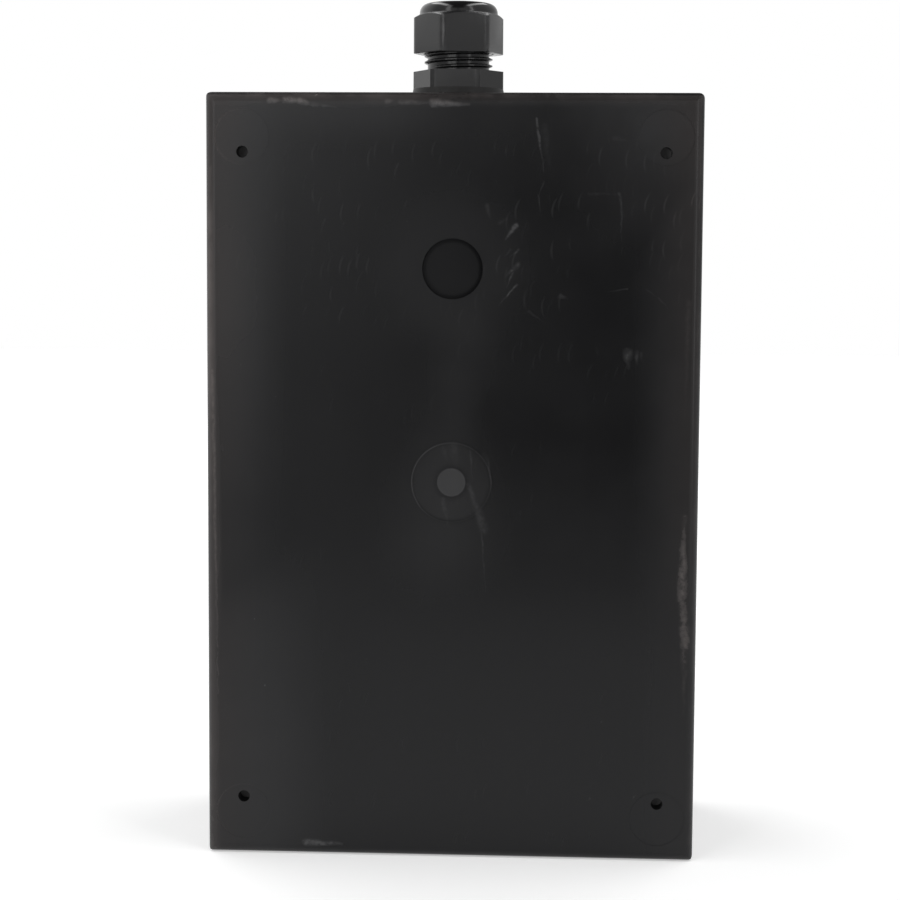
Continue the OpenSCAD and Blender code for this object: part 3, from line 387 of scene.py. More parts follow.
knock_halo = calc(tree, "MULTIPLY", ease(tree, knock_away, 0.030, 0.0095, 0.0, 0.016),
                  ease(tree, knock_away, 0.0089, 0.0093))
haze_and_sheen = calc(tree, "ADD", haze_and_sheen, knock_halo)
haze_and_sheen = calc(tree, "ADD", haze_and_sheen, rubbed(tree, flat, 4.5, 160.0, 2.0, 125.0, 16.0, 0.010))
haze_and_sheen = calc(tree, "ADD", haze_and_sheen, rubbed(tree, flat, -2.5, 101.0, 0.0, 146.0, 27.0, 0.024))

# The rounded left and top edges are paler than the face, in patches: a painted highlight of the light they
# catch
on_edge = ease(tree, at["Y"], -0.0330, -0.0348)
left_edge_highlight = calc(tree, "MULTIPLY", ease(tree, at["X"], -0.0716, -0.0738, 0.0, 0.13),
                 ease(tree, at["Z"], 0.218, 0.190, 0.2, 1.0))
left_edge_highlight = calc(tree, "MULTIPLY", left_edge_highlight, ease(tree, at["Z"], 0.100, 0.165, 0.12, 1.0))
top_edge_highlight = calc(tree, "MULTIPLY", ease(tree, at["Z"], 0.2290, 0.2326, 0.0, 0.085),
                ease(tree, at["X"], -0.074, -0.055, 0.45, 0.75))
top_edge_highlight = calc(tree, "MULTIPLY", top_edge_highlight, ease(tree, at["X"], 0.040, 0.028, 0.4, 1.0))
edges = calc(tree, "MAXIMUM", left_edge_highlight, top_edge_highlight)
edges = calc(tree, "MULTIPLY", edges, ease(tree, noise(tree, place, 70.0, 4.0, 0.6), 0.3, 0.65, 0.55, 1.15))

# Handling marks over the upper half: short, leaning, slightly bent strokes in loose clusters
stretched = joined(tree, calc(tree, "MULTIPLY", at["X"], 360.0), calc(tree, "MULTIPLY", at["Z"], 118.0))
strewn = wire(tree, "TexVoronoi", {"Vector": stretched, "Scale": 1.0}, voronoi_dimensions="2D").outputs
lean = channels(tree, strewn["Color"])
offset = axes(tree, vector(tree, "SUBTRACT", stretched, strewn["Position"]))
bend = calc(tree, "MULTIPLY", offset["Y"], offset["Y"], 2.0)
slant = calc(tree, "MULTIPLY", offset["Y"], calc(tree, "ADD", lean["Green"], 0.05))
beside = calc(tree, "SUBTRACT", calc(tree, "ADD", offset["X"], 0.15), bend, slant)
dash = calc(tree, "MULTIPLY", ease(tree, calc(tree, "ABSOLUTE", beside), 0.18, 0.0),
            ease(tree, calc(tree, "ABSOLUTE", offset["Y"]), 0.46, 0.12))
dash = calc(tree, "MULTIPLY", dash, ease(tree, lean["Red"], 0.3, 0.9))
rows = ease(tree, calc(tree, "PINGPONG", calc(tree, "ADD", at["Z"], 0.003), 0.0075), 0.001, 0.005, 0.3, 1.0)
dash = calc(tree, "MULTIPLY", dash, rows)
where = calc(tree, "MULTIPLY", ease(tree, noise(tree, place, 42.0, 2.0), 0.42, 0.60),
             ease(tree, at["Z"], 0.130, 0.200, 0.2, 1.0))
where = calc(tree, "MULTIPLY", where, ease(tree, at["Z"], 0.228, 0.220))
dashes = calc(tree, "MULTIPLY", dash, where, 0.030)
specks = wire(tree, "TexVoronoi", {"Vector": flat, "Scale": 150.0}).outputs
speck_size = channels(tree, specks["Color"])["Red"]
dots = calc(tree, "MULTIPLY", ease(tree, specks["Distance"], 0.045, 0.02),
            ease(tree, speck_size, 0.82, 1.0, 0.0, 0.06))
streaks = ease(tree, skin["Streak"], 0.45, 0.8, 0.0, 0.002)
fine = calc(tree, "ADD", dashes, dots, streaks)
# Everything that pales the face: real scuffs, specks and haze, with the painted highlights and painted
# reflection
pale_share = calc(tree, "MULTIPLY", calc(tree, "ADD", marks_and_highlights, haze_and_sheen, fine), on_back)
pale_share = calc(tree, "ADD", pale_share, calc(tree, "MULTIPLY", edges, on_edge))

# The box for the worn edges reaches past the cover, so that the joint with the cover is not rubbed
rub = rubbed_edges(tree, place, (-0.075, -0.0375, 0.0), (0.075, 0.10, 0.234), 0.0024)
pale_share = calc(tree, "ADD", pale_share, calc(tree, "MULTIPLY", rub, 0.04))
# The pale colour, warmer towards the sides and the top, is shared by the real wear and the painted highlights
aside = calc(tree, "ABSOLUTE", at["X"])
warm = calc(tree, "MAXIMUM", ease(tree, aside, 0.0560, 0.0740), ease(tree, at["Z"], 0.2290, 0.2330))
dust_and_sheen = mix(tree, warm, (0.300, 0.299, 0.304, 1.0), (0.335, 0.292, 0.278, 1.0))
feed(tree, mix(tree, pale_share, (0.0054, 0.0054, 0.0058, 1.0), dust_and_sheen), shader)
rough = calc(tree, "ADD", ease(tree, skin["Cloud"], 0.3, 0.7, 0.18, 0.24), pale_share)

# Smoother, so darker: the rim of the knock-out, the lip of the gate dish, and where a hand rubs the face
knock_rim = calc(tree, "MULTIPLY", ease(tree, knock_away, 0.0074, 0.0088, 0.0, 0.12),
                 ease(tree, knock_away, 0.0093, 0.0091))
gate_lip = calc(tree, "MULTIPLY", ease(tree, gate_away, 0.0122, 0.0125, 0.0, 0.08),
                ease(tree, gate_away, 0.0130, 0.0126))
stub_foot = calc(tree, "MULTIPLY", ease(tree, gate_away, 0.0043, 0.0046, 0.0, 0.08),
                 ease(tree, gate_away, 0.0062, 0.0050))
hand = ease(tree, vector(tree, "DISTANCE", flat, (0.029, 0.0, 0.137)), 0.042, 0.012, 0.0, 0.028)
sleek = calc(tree, "MAXIMUM", knock_rim, gate_lip, stub_foot, hand)
rough = calc(tree, "MAXIMUM", calc(tree, "SUBTRACT", rough, sleek), 0.05)
feed(tree, rough, shader, "Roughness")
bump(tree, shader, skin["Grain"], 0.04, 0.00005)
dress(case_finish, "rear_housing")

# Skins in the wall holes
# A thin skin of plastic is left across each wall hole, a few millimetres down, to be pushed out when the
# case is hung. Each is a shallow dished disc moulded in one with the housing.


def only(piece):
    bpy.ops.object.select_all(action="DESELECT")
    piece.select_set(True)
    bpy.context.view_layer.objects.active = piece


def copies(master, places):
    made = []
    for location, turn in places:
        copy = master.copy()
        copy.data = master.data.copy()
        copy.location = location
        copy.rotation_euler = (0.0, turn, 0.0)
        bpy.context.scene.collection.objects.link(copy)
        made.append(copy)
    bpy.data.objects.remove(master)
    bpy.ops.object.select_all(action="DESELECT")
    for copy in made:
        copy.select_set(True)
    bpy.context.view_layer.objects.active = made[0]
    bpy.ops.object.transform_apply(location=True, rotation=True, scale=True)
    bpy.ops.object.join()
    return bpy.context.object


skin_paint, tree, shader, place = start_finish("hole_skin", 0.45)
skin_cloud = ease(tree, noise(tree, place, 900.0, 3.0, 0.6), 0.3, 0.7)
feed(tree, mix(tree, skin_cloud, (0.026, 0.0245, 0.0240, 1.0), (0.044, 0.0415, 0.0405, 1.0)), shader)
hole_x = 0.0637
hole_low = 0.018
hole_high = 0.216
skin_y = -0.0319
bpy.ops.object.select_all(action="DESELECT")
bpy.ops.mesh.primitive_cylinder_add(vertices=40, radius=0.00178, depth=0.0005,
                                    rotation=(math.radians(90.0), 0.0, 0.0))
skin_disc = bpy.context.object
bpy.ops.object.transform_apply(location=True, rotation=True, scale=True)
bpy.ops.object.mode_set(mode="EDIT")
bpy.ops.mesh.select_mode(type="FACE")
bpy.ops.mesh.select_all(action="DESELECT")
bpy.ops.object.mode_set(mode="OBJECT")
for face in skin_disc.data.polygons:
    face.select = face.normal.y < -0.9
bpy.ops.object.mode_set(mode="EDIT")
for rim, drop in ((0.0004, 0.00006), (0.0005, 0.00005), (0.0005, 0.00003)):
    bpy.ops.mesh.inset(thickness=rim)
    bpy.ops.transform.translate(value=(0.0, drop, 0.0))
bpy.ops.object.mode_set(mode="OBJECT")
only(skin_disc)
bpy.ops.object.shade_smooth_by_angle(angle=math.radians(40.0))
skin_places = [((x, skin_y, z), 0.0) for x in (-hole_x, hole_x) for z in (hole_low, hole_high)]
skin_discs = copies(skin_disc, skin_places)
skin_discs.name = "hole_skins"
paint(skin_discs, skin_paint)
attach(skin_discs, "housing")

# Gland body and locknut
# Both are moulded in black nylon, a little shinier than the case. The body drops through the end of the
# case and the locknut holds it from inside; the corners of the hexagons are rubbed by the spanner.


def moulded(name, dark, pale, smooth, rough, scale=1.0, relief=0.08):
    finish, tree, shader, place = start_finish(name, rough)
    skin = apply_group(tree, moulded_skin, {"Vector": place, "Scale": scale})
    tone = calc(tree, "ADD", calc(tree, "MULTIPLY", skin["Cloud"], 0.65),
                calc(tree, "MULTIPLY", skin["Grain"], 0.35))
    colour = mix(tree, ease(tree, tone, 0.35, 0.65), (*dark, 1.0), (*pale, 1.0))
    feed(tree, colour, shader)
    feed(tree, ease(tree, skin["Cloud"], 0.3, 0.7, smooth, rough), shader, "Roughness")
    lines = calc(tree, "MULTIPLY", skin["Streak"], 0.4)
    bump(tree, shader, calc(tree, "ADD", skin["Grain"], lines), relief, 0.00005)
    return finish, tree, shader, place, colour


gland_y = -0.0095


def spannered(name):
    finish, tree, shader, place, colour = moulded(
        name, dark=(0.0100, 0.0100, 0.0106), pale=(0.0145, 0.0142, 0.0148),
        smooth=0.17, rough=0.27, scale=2.5)
    from_axis = vector(tree, "SUBTRACT", place, (0.0, gland_y, 0.0))
    across = vector(tree, "MULTIPLY", from_axis, (1.0, 1.0, 0.0))
    corner = ease(tree, vector(tree, "LENGTH", across), 0.0136, 0.0141, 0.0, 0.06)
    spanner = calc(tree, "MULTIPLY", corner, ease(tree, noise(tree, place, 260.0, 3.0, 0.6), 0.3, 0.75))
    colour = mix(tree, spanner, colour, (0.34, 0.34, 0.35, 1.0))
    feed(tree, colour, shader)
    return finish, tree, shader, place, colour


body_nylon, _, shader, *_ = spannered("gland_nylon")
shader.inputs["Specular IOR Level"].default_value = 0.33
dress(body_nylon, "gland_body", "gland_locknut")

# Gland washer and seal
# Rings of black sealing rubber with a dull, slightly dusty skin: one is clamped between flange and case,
# the other is squeezed by the nut on to the cable.
rubber, tree, shader, place, colour = moulded(
    "seal_rubber", dark=(0.0075, 0.0073, 0.0072), pale=(0.0115, 0.0111, 0.0108),
    smooth=0.45, rough=0.6, scale=2.0, relief=0.2)
shader.inputs["Specular IOR Level"].default_value = 0.3
bloom = ease(tree, noise(tree, place, 260.0, 4.0, 0.65), 0.45, 0.75, 0.0, 0.02)
feed(tree, mix(tree, bloom, colour, (0.42, 0.40, 0.38, 1.0)), shader)
dress(rubber, "gland_washer", "gland_seal")

# Gland nut
# A domed hexagonal cap nut of the same nylon. Its corners are rounded in the mould and its shoulder is
# cut back to a cone below the dome; it screws down over the claws of the body.


def pick(piece, test):
    bpy.ops.mesh.select_all(action="DESELECT")
    bpy.ops.object.mode_set(mode="OBJECT")
    for edge in piece.data.edges:
        ends = [piece.data.vertices[k].co for k in edge.vertices]
        edge.select = test(*ends)
    bpy.ops.object.mode_set(mode="EDIT")


# Its section as radius and height above the foot: flank, cone, dome in ten steps, mouth and bore
nut_foot = 0.2474
nut_hexagon = 0.025
nut_bore = 0.0109
nut_mouth = 0.0074
dome_foot = 0.0120
dome_round = 0.0035
dome_crown = 0.00865
dome_power = 0.85
nut_profile = [(0.01430, 0.0), (0.01430, 0.010835), (0.01215, 0.01202)]
for step in range(1, 11):
    turn = math.radians(step * 9.0)
    nut_profile.append((dome_crown + dome_round * max(math.cos(turn), 0.0) ** dome_power,
                        dome_foot + dome_round * math.sin(turn) ** dome_power))
nut_profile += [(0.00765, 0.0155), (nut_mouth, 0.01525), (nut_mouth, 0.0140)]
nut_profile += [(nut_bore, 0.0098), (nut_bore, 0.0)]

bpy.ops.mesh.primitive_circle_add(vertices=120, radius=nut_profile[0][0], fill_type="NOTHING",
                                  location=(0.0, gland_y, nut_foot))
turned_nut = bpy.context.object
bpy.ops.object.transform_apply(location=True, rotation=True, scale=True)
bpy.ops.object.mode_set(mode="EDIT")
bpy.ops.mesh.select_mode(type="EDGE")
bpy.ops.mesh.select_all(action="SELECT")
for (r0, z0), (r1, z1) in zip(nut_profile, nut_profile[1:]):
    bpy.ops.mesh.extrude_region_move(TRANSFORM_OT_translate={"value": (0.0, 0.0, z1 - z0)})
    if abs(r1 - r0) > 1e-6:
        bpy.ops.transform.resize(value=(r1 / r0, r1 / r0, 1.0), center_override=(0.0, gland_y, nut_foot + z1))
pick(turned_nut, lambda a, b: max(a.z, b.z) < nut_foot + 1e-5)
bpy.ops.mesh.bridge_edge_loops()
bpy.ops.mesh.select_all(action="SELECT")
bpy.ops.mesh.normals_make_consistent(inside=False)
bpy.ops.object.mode_set(mode="OBJECT")

bpy.ops.object.select_all(action="DESELECT")
bpy.ops.mesh.primitive_cylinder_add(vertices=6, radius=nut_hexagon / math.sqrt(3.0), depth=0.04,
                                    location=(0.0, gland_y, nut_foot + 0.01),
                                    rotation=(0.0, 0.0, math.radians(-18.0)))
nut = bpy.context.object
nut.name = "domed_gland_nut"
bpy.ops.object.transform_apply(location=True, rotation=True, scale=True)
bpy.ops.object.mode_set(mode="EDIT")
bpy.ops.mesh.select_mode(type="EDGE")
pick(nut, lambda a, b: abs(a.z - b.z) > 0.03)
bpy.ops.mesh.bevel(offset=0.0013, segments=5, affect="EDGES")
bpy.ops.object.mode_set(mode="OBJECT")
cut = nut.modifiers.new("turned", "BOOLEAN")
cut.operation = "INTERSECT"
cut.solver = "EXACT"
cut.object = turned_nut
only(nut)
bpy.ops.object.modifier_apply(modifier=cut.name)
bpy.data.objects.remove(turned_nut)
soften = nut.modifiers.new("soften", "BEVEL")
soften.width = 0.00018
soften.segments = 2
soften.limit_method = "ANGLE"
soften.angle_limit = math.radians(26.0)
bpy.ops.object.modifier_apply(modifier=soften.name)
bpy.ops.object.shade_smooth_by_angle(angle=math.radians(32.0))

# Its dome is smoother and darker than its flats
nut_nylon, tree, shader, place, colour = spannered("nut_nylon")
on_dome = ease(tree, axes(tree, place)["Z"], nut_foot + 0.0119, nut_foot + 0.0127)
feed(tree, mix(tree, on_dome, colour, (0.0052, 0.0050, 0.0052, 1.0)), shader)
flat_rough = shader.inputs["Roughness"].links[0].from_socket
dome_rough = calc(tree, "MULTIPLY", flat_rough, ease(tree, on_dome, 0.0, 1.0, 1.0, 0.55))
feed(tree, dome_rough, shader, "Roughness")
paint(nut, nut_nylon)
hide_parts("gland_nut")
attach(nut, "nut")

# Chassis plate and its screws
# A plate of rolled aluminium sheet spreads the heat; zinc-plated slotted screws hold it on the posts of
# the housing and hold the board above it.

# Skin of worked metal: fine tool lines along one direction and slow stains
metal_skin, given, out = start_group("metal_skin", {"Vector": "Vector", "Stretch": "Vector"},
                                     ["Brush", "Stain"])
drawn = vector(metal_skin, "MULTIPLY", given["Vector"], given["Stretch"])
metal_skin.links.new(noise(metal_skin, drawn, 1.0, 4.0, 0.65), out["Brush"])
metal_skin.links.new(noise(metal_skin, given["Vector"], 85.0, 4.0, 0.6), out["Stain"])


def metal(name, dark, pale, stain, smooth, rough, stretch, relief=0.06):
    finish, tree, shader, place = start_finish(name, rough, 1.0)
    skin = apply_group(tree, metal_skin, {"Vector": place, "Stretch": stretch})
    colour = mix(tree, ease(tree, skin["Brush"], 0.3, 0.7), (*dark, 1.0), (*pale, 1.0))
    stained = ease(tree, skin["Stain"], 0.5, 0.8, 0.0, 0.7)
    colour = mix(tree, stained, colour, (*stain, 1.0))
    feed(tree, colour, shader)
    lines = ease(tree, skin["Brush"], 0.25, 0.75, smooth, rough)
    feed(tree, calc(tree, "ADD", lines, calc(tree, "MULTIPLY", stained, 0.12)), shader, "Roughness")
    bump(tree, shader, skin["Brush"], relief, 0.00003)
    return finish, tree, shader, place, colour


sheet, *_ = metal(
    "rolled_aluminium", dark=(0.50, 0.51, 0.52), pale=(0.68, 0.69, 0.70), stain=(0.44, 0.44, 0.43),
    smooth=0.26, rough=0.44, stretch=(40.0, 900.0, 1500.0))
dress(sheet, "chassis_plate")
zinc, *_ = metal(
    "zinc_plate", dark=(0.52, 0.53, 0.55), pale=(0.72, 0.73, 0.74), stain=(0.55, 0.52, 0.42),
    smooth=0.20, rough=0.36, stretch=(900.0, 2400.0, 900.0))
dress(zinc, "chassis_screws", "spacer_screws", "board_screws")

# Spacers and thermal pads
# Hexagonal brass spacers carry the board; two soft silicone pads with a woven carrier take the heat of
# the amplifiers to the plate.
brass, *_ = metal(
    "turned_brass", dark=(0.56, 0.38, 0.13), pale=(0.78, 0.58, 0.25), stain=(0.42, 0.27, 0.09),
    smooth=0.22, rough=0.38, stretch=(300.0, 3200.0, 300.0))
dress(brass, "board_spacers")
silicone, tree, shader, place, colour = moulded(
    "thermal_silicone", dark=(0.20, 0.27, 0.37), pale=(0.29, 0.36, 0.46),
    smooth=0.6, rough=0.75, scale=3.0, relief=0.2)
warp_way = wire(tree, "TexWave", {"Vector": place, "Scale": 420.0}, bands_direction="X").outputs["Fac"]
weft_way = wire(tree, "TexWave", {"Vector": place, "Scale": 420.0}, bands_direction="Z").outputs["Fac"]
weave = calc(tree, "MAXIMUM", warp_way, weft_way)
threads = ease(tree, weave, 0.6, 1.0, 0.0, 0.35)
feed(tree, mix(tree, threads, colour, (0.40, 0.46, 0.55, 1.0)), shader)
bump(tree, shader, weave, 0.3, 0.0001)
dress(silicone, "thermal_pads")

# Main board
# Glass laminate with copper on it under green solder mask: runs of parallel tracks, a stitched ground
# pour with plated vias, bare gold round the fixing holes, and raw straw-coloured laminate at the edges.
board_low, board_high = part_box("main_board")
board, tree, shader, place = start_finish("board_laminate", 0.3)
at = axes(tree, place)
flat = vector(tree, "MULTIPLY", place, (1.0, 0.0, 1.0))
skin = apply_group(tree, moulded_skin, {"Vector": place, "Scale": 2.0})
field = wire(tree, "TexVoronoi", {"Vector": flat, "Scale": 72.0, "Randomness": 0.8}, distance="CHEBYCHEV")
pick_way = channels(tree, field.outputs["Color"])
tracks_across = calc(tree, "PINGPONG", at["Z"], 0.0007)
tracks_up = calc(tree, "PINGPONG", at["X"], 0.0007)
turned = calc(tree, "GREATER_THAN", pick_way["Red"], 0.5)
track_gap = wire(tree, "Mix", {0: turned, 2: tracks_across, 3: tracks_up}, data_type="FLOAT").outputs[0]
tracks = ease(tree, track_gap, 0.00034, 0.00042)
poured = calc(tree, "GREATER_THAN", pick_way["Green"], 0.45)
copper = calc(tree, "MAXIMUM", tracks, poured)
spots = wire(tree, "TexVoronoi", {"Vector": flat, "Scale": 260.0, "Randomness": 0.55})
spot_pick = channels(tree, spots.outputs["Color"])["Red"]
spot_on = calc(tree, "GREATER_THAN", spot_pick, 0.72)
via = calc(tree, "MULTIPLY", ease(tree, spots.outputs["Distance"], 0.115, 0.10), spot_on)
via_hole = calc(tree, "MULTIPLY", ease(tree, spots.outputs["Distance"], 0.05, 0.04), spot_on)
mask_green = mix(tree, skin["Cloud"], (0.006, 0.050, 0.017, 1.0), (0.009, 0.066, 0.022, 1.0))
colour = mix(tree, copper, mask_green, (0.017, 0.118, 0.040, 1.0))
pad_places = [(x, 0.0, z) for x in (-0.0540, 0.0540) for z in (0.0344, 0.1084, 0.1690)]
pads = [ease(tree, vector(tree, "DISTANCE", flat, middle), 0.00362, 0.00355) for middle in pad_places]
gold = calc(tree, "MAXIMUM", *pads, via)
colour = mix(tree, gold, colour, (0.72, 0.50, 0.19, 1.0))
colour = mix(tree, via_hole, colour, (0.02, 0.02, 0.015, 1.0))
edge_from = 0.00006
edge_full = 0.00003
side_edge = ease(tree, calc(tree, "ABSOLUTE", at["X"]), board_high.x - edge_from, board_high.x - edge_full)
low_edge = ease(tree, at["Z"], board_low.z + edge_from, board_low.z + edge_full)
high_edge = ease(tree, at["Z"], board_high.z - edge_from, board_high.z - edge_full)
edge = calc(tree, "MAXIMUM", side_edge, low_edge, high_edge)
glass = wire(tree, "TexWave", {"Vector": place, "Scale": 900.0, "Distortion": 1.5}, bands_direction="Y")
straw = mix(tree, glass.outputs["Fac"], (0.30, 0.24, 0.10, 1.0), (0.42, 0.36, 0.18, 1.0))
feed(tree, mix(tree, edge, colour, straw), shader)
bare = calc(tree, "SUBTRACT", gold, calc(tree, "MINIMUM", calc(tree, "ADD", via_hole, edge), gold))
feed(tree, bare, shader, "Metallic")
feed(tree, ease(tree, skin["Cloud"], 0.3, 0.7, 0.24, 0.38), shader, "Roughness")
bump(tree, shader, calc(tree, "ADD", copper, calc(tree, "MULTIPLY", skin["Grain"], 0.15)), 0.25, 0.00006)
dress(board, "main_board")

# Radio parts
# Shield cans folded from tinned sheet, silver-plated duplexers with brass tuning screws, and amplifier
# packages of black moulding compound under the cans. All are soldered to the board.
tin, tree, shader, place, colour = metal(
    "tinned_sheet", dark=(0.60, 0.61, 0.62), pale=(0.78, 0.79, 0.79), stain=(0.50, 0.51, 0.50),
    smooth=0.22, rough=0.36, stretch=(220.0, 700.0, 60.0))
spangle = wire(tree, "TexVoronoi", {"Vector": place, "Scale": 240.0}).outputs["Color"]
bright = ease(tree, channels(tree, spangle)["Red"], 0.2, 0.9, 0.0, 0.22)
feed(tree, mix(tree, bright, colour, (0.84, 0.85, 0.86, 1.0)), shader)
dress(tin, "uplink_shield", "downlink_shield")
silver, *_ = metal(
    "silver_plate", dark=(0.70, 0.69, 0.66), pale=(0.88, 0.87, 0.85), stain=(0.60, 0.52, 0.38),
    smooth=0.18, rough=0.32, stretch=(260.0, 260.0, 260.0), relief=0.03)
dress(silver, "donor_duplexer", "server_duplexer")
dress(brass, "tuning_screws")
epoxy, *_ = moulded(
    "chip_compound", dark=(0.010, 0.010, 0.0108), pale=(0.020, 0.020, 0.021),
    smooth=0.45, rough=0.6, scale=4.0, relief=0.2)
dress(epoxy, "amplifier_chips", "controller_chip")

# Power and control parts
# Can capacitors in a blue-black sleeve with a pale stripe and a scored aluminium top, a pressed ferrite
# choke, and the controller, whose bent leads are soldered to the board on four sides.
sleeve, tree, shader, place, colour = moulded(
    "capacitor_sleeve", dark=(0.008, 0.013, 0.028), pale=(0.013, 0.020, 0.040),
    smooth=0.2, rough=0.3, scale=3.0, relief=0.05)
can_pitch = 0.0125
can_first = -0.047
can_row = 0.120
at = axes(tree, place)
along_row = calc(tree, "SUBTRACT", at["X"], can_first - can_pitch / 2.0)
turns = calc(tree, "FRACT", calc(tree, "DIVIDE", along_row, can_pitch))
can_across = calc(tree, "MULTIPLY", calc(tree, "SUBTRACT", turns, 0.5), can_pitch)
can_up = calc(tree, "SUBTRACT", at["Z"], can_row)
can_away = calc(tree, "SQRT", calc(tree, "ADD", calc(tree, "MULTIPLY", can_across, can_across),
                                   calc(tree, "MULTIPLY", can_up, can_up)))
stripe = ease(tree, calc(tree, "DIVIDE", can_up, can_away), 0.90, 0.93)
colour = mix(tree, stripe, colour, (0.36, 0.40, 0.43, 1.0))
lid = calc(tree, "MULTIPLY", ease(tree, at["Y"], -0.00746, -0.00743), ease(tree, can_away, 0.0043, 0.0042))
score_gap = calc(tree, "MINIMUM", calc(tree, "ABSOLUTE", can_across), calc(tree, "ABSOLUTE", can_up))
score = calc(tree, "MULTIPLY", ease(tree, score_gap, 0.00022, 0.0001), ease(tree, can_away, 0.0034, 0.0032))
lid_colour = mix(tree, score, (0.70, 0.71, 0.72, 1.0), (0.20, 0.20, 0.21, 1.0))
feed(tree, mix(tree, lid, colour, lid_colour), shader)
feed(tree, lid, shader, "Metallic")
dress(sleeve, "filter_capacitors")
ferrite, *_ = moulded(
    "pressed_ferrite", dark=(0.022, 0.022, 0.024), pale=(0.045, 0.045, 0.047),
    smooth=0.5, rough=0.7, scale=4.0, relief=0.3)
dress(ferrite, "power_inductor")

# One lead is drawn from its section along three straight runs: out of the package, down, and along the pad
board_top = board_high.y
lead_width = 0.00045
lead_thick = 0.0002
lead_rise = 0.0009
bpy.ops.object.select_all(action="DESELECT")
bpy.ops.mesh.primitive_plane_add(size=1.0, rotation=(0.0, math.radians(90.0), 0.0),
                                 location=(0.0, lead_rise, 0.0))
lead = bpy.context.object
lead.scale = (lead_width, lead_thick, 1.0)
bpy.ops.object.transform_apply(location=True, rotation=True, scale=True)
bpy.ops.object.mode_set(mode="EDIT")
bpy.ops.mesh.select_all(action="SELECT")
for step in ((0.0004, 0.0, 0.0), (0.0002, -0.0008, 0.0), (0.0007, 0.0, 0.0)):
    bpy.ops.mesh.extrude_region_move(TRANSFORM_OT_translate={"value": step})
bpy.ops.mesh.select_all(action="SELECT")
bpy.ops.mesh.normals_make_consistent(inside=False)
bpy.ops.object.mode_set(mode="OBJECT")
controller_x, controller_z = 0.024, 0.120
half = 0.0070
side_leads = 12
lead_pitch = 0.00104
lead_places = []
for k in range(side_leads):
    slide = (k - (side_leads - 1) / 2.0) * lead_pitch
    for turn, x, z in ((0.0, half, slide), (math.pi, -half, slide), (math.pi / 2.0, slide, -half),
                       (-math.pi / 2.0, slide, half)):
        lead_places.append(((controller_x + x, board_top, controller_z + z), turn))
leads = copies(lead, lead_places)
leads.name = "controller_leads"
paint(leads, tin)
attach(leads, "housing")

# Chip parts
# Small ceramic capacitors and resistors with tinned ends, soldered in rows between the larger parts.
ceramic, *_ = moulded(
    "tan_ceramic", dark=(0.30, 0.21, 0.12), pale=(0.40, 0.29, 0.17),
    smooth=0.4, rough=0.55, scale=6.0, relief=0.15)
chip_size = (0.0020, 0.0008, 0.00125)
chip_end = 0.00058
bpy.ops.object.select_all(action="DESELECT")
bpy.ops.mesh.primitive_cube_add(size=1.0, location=(0.0, chip_size[1] / 2.0, 0.0))
chip = bpy.context.object
chip.scale = chip_size
bpy.ops.object.transform_apply(location=True, rotation=True, scale=True)
bpy.ops.object.mode_set(mode="EDIT")
for cut_x in (-chip_end, chip_end):
    bpy.ops.mesh.select_all(action="SELECT")
    bpy.ops.mesh.bisect(plane_co=(cut_x, 0.0, 0.0), plane_no=(1.0, 0.0, 0.0))
bpy.ops.object.mode_set(mode="OBJECT")
chip.data.materials.append(ceramic)
chip.data.materials.append(tin)
for face in chip.data.polygons:
    face.material_index = 1 if abs(face.center.x) > chip_end else 0
blunt = chip.modifiers.new("blunt", "BEVEL")
blunt.width = 0.00008
blunt.segments = 1
blunt.limit_method = "ANGLE"
only(chip)
bpy.ops.object.modifier_apply(modifier=blunt.name)
chip_places = [(x, z, 0.0) for z in (0.0968, 0.1010) for x in range(-45, 46, 6)]
chip_places += [(x, 0.1072, math.pi / 2.0) for x in (-48, -44, -40, -14, -10, 6, 10, 34, 38, 42)]
chip_places += [(x, 0.1585, math.pi / 2.0) for x in (-20, -17, -14, 4, 7, 10, 46, 49)]
chip_places += [(x, z, 0.0) for x in (37, 41, 45) for z in (0.1140, 0.1170, 0.1200, 0.1230, 0.1260)]
chip_places += [(7, z, 0.0) for z in (0.1140, 0.1170, 0.1230, 0.1260)]
chips = copies(chip, [((x / per_metre, board_top, z), turn) for x, z, turn in chip_places])
chips.name = "chip_parts"
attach(chips, "housing")

# Connections
# A green screw terminal block for the supply, and a gold-plated coaxial jack with a white insulator.
terminal, tree, shader, place, colour = moulded(
    "terminal_nylon", dark=(0.016, 0.120, 0.045), pale=(0.024, 0.160, 0.062),
    smooth=0.36, rough=0.5, scale=3.0, relief=0.15)
low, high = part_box("terminal_block")
rub = calc(tree, "MULTIPLY", rubbed_edges(tree, place, low, high, 0.0006), 0.35)
feed(tree, mix(tree, rub, colour, (0.16, 0.36, 0.22, 1.0)), shader)
dress(terminal, "terminal_block")
dress(zinc, "terminal_screws")
gilt, *_ = metal(
    "gold_plate", dark=(0.76, 0.53, 0.19), pale=(0.93, 0.70, 0.32), stain=(0.62, 0.40, 0.13),
    smooth=0.16, rough=0.28, stretch=(300.0, 2600.0, 300.0), relief=0.04)
dress(gilt, "coax_jack", "feed_pin")
white, *_ = moulded(
    "white_insulator", dark=(0.66, 0.65, 0.61), pale=(0.76, 0.75, 0.72),
    smooth=0.35, rough=0.5, scale=3.0, relief=0.08)
dress(white, "jack_insulator", "feed_bush", "patch_spacers", "patch_screws")

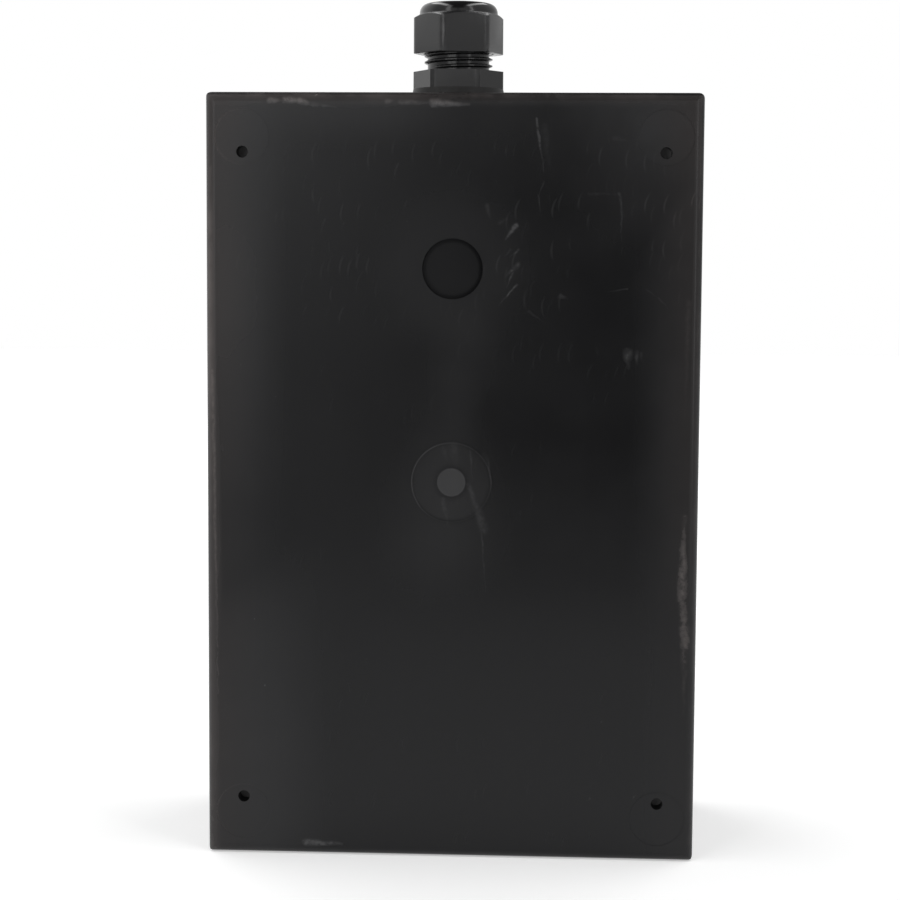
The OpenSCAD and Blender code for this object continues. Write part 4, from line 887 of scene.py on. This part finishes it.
# Gain switch and status lamps
# A red moulded switch with four white sliding levers, and four tinted epoxy lamps standing on the board.
red, tree, shader, place, colour = moulded(
    "red_plastic", dark=(0.30, 0.016, 0.013), pale=(0.40, 0.026, 0.020),
    smooth=0.25, rough=0.36, scale=3.0, relief=0.1)
low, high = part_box("dip_switch")
rub = calc(tree, "MULTIPLY", rubbed_edges(tree, place, low, high, 0.0005), 0.4)
feed(tree, mix(tree, rub, colour, (0.55, 0.16, 0.13, 1.0)), shader)
dress(red, "dip_switch")
dress(white, "dip_lever_1", "dip_lever_2", "dip_lever_3", "dip_lever_4")
lamp, tree, shader, place, colour = moulded(
    "lamp_epoxy", dark=(0.06, 0.34, 0.05), pale=(0.11, 0.46, 0.09),
    smooth=0.08, rough=0.14, scale=3.0, relief=0.02)
shader.inputs["Coat Weight"].default_value = 0.6
up_lamp = ease(tree, axes(tree, place)["Y"], -0.0185, -0.0150)
feed(tree, mix(tree, up_lamp, (0.16, 0.40, 0.13, 1.0), colour), shader)
dress(lamp, "status_leds")

# Antenna
# A bright aluminium reflector on tall brass spacers, and a lacquered copper patch held off it by white
# spacers and nylon screws; the gilt feed pin comes up through a bush.
dress(sheet, "antenna_reflector")
dress(brass, "reflector_spacers")
dress(zinc, "reflector_screws")
patch, *_ = metal(
    "lacquered_copper", dark=(0.66, 0.31, 0.18), pale=(0.73, 0.37, 0.22), stain=(0.42, 0.20, 0.13),
    smooth=0.24, rough=0.40, stretch=(1200.0, 400.0, 50.0))
dress(patch, "antenna_patch")

# Cover, gasket and cover screws
# The front cover is moulded in the same black ABS with a fine spark texture on its front. It closes on a
# foam gasket, and four plated screws with rubber washers pull it down at the corners.
cover, tree, shader, place, colour = moulded(
    "cover_abs", dark=(0.0068, 0.0069, 0.0073), pale=(0.0100, 0.0100, 0.0104),
    smooth=0.26, rough=0.36, scale=1.0, relief=0.05)
shader.inputs["Specular IOR Level"].default_value = 0.35
low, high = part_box("front_cover")
rub = rubbed_edges(tree, place, (low.x, low.y - 0.05, low.z), high, 0.0022)
scratch = vector(tree, "MULTIPLY", place, (60.0, 60.0, 1400.0))
fine = ease(tree, noise(tree, scratch, 1.0, 2.0, 0.5), 0.66, 0.74, 0.0, 0.012)
pale_share = calc(tree, "ADD", calc(tree, "MULTIPLY", rub, 0.06), fine)
feed(tree, mix(tree, pale_share, colour, (0.32, 0.32, 0.31, 1.0)), shader)
spark = wire(tree, "TexVoronoi", {"Vector": place, "Scale": 1500.0}, feature="SMOOTH_F1").outputs["Distance"]
bump(tree, shader, spark, 0.18, 0.00008)
dress(cover, "front_cover")
foam, tree, shader, place = start_finish("gasket_foam", 0.85)
pores = wire(tree, "TexVoronoi", {"Vector": place, "Scale": 1700.0}).outputs["Distance"]
cells = ease(tree, pores, 0.1, 0.6)
feed(tree, mix(tree, cells, (0.020, 0.020, 0.021, 1.0), (0.055, 0.055, 0.056, 1.0)), shader)
feed(tree, ease(tree, noise(tree, place, 300.0), 0.3, 0.7, 0.78, 0.92), shader, "Roughness")
bump(tree, shader, cells, 0.6, 0.0002)
dress(foam, "cover_gasket")
for corner in range(1, 5):
    dress(zinc, "cover_screw_%d" % corner)
    dress(rubber, "screw_washer_%d" % corner)
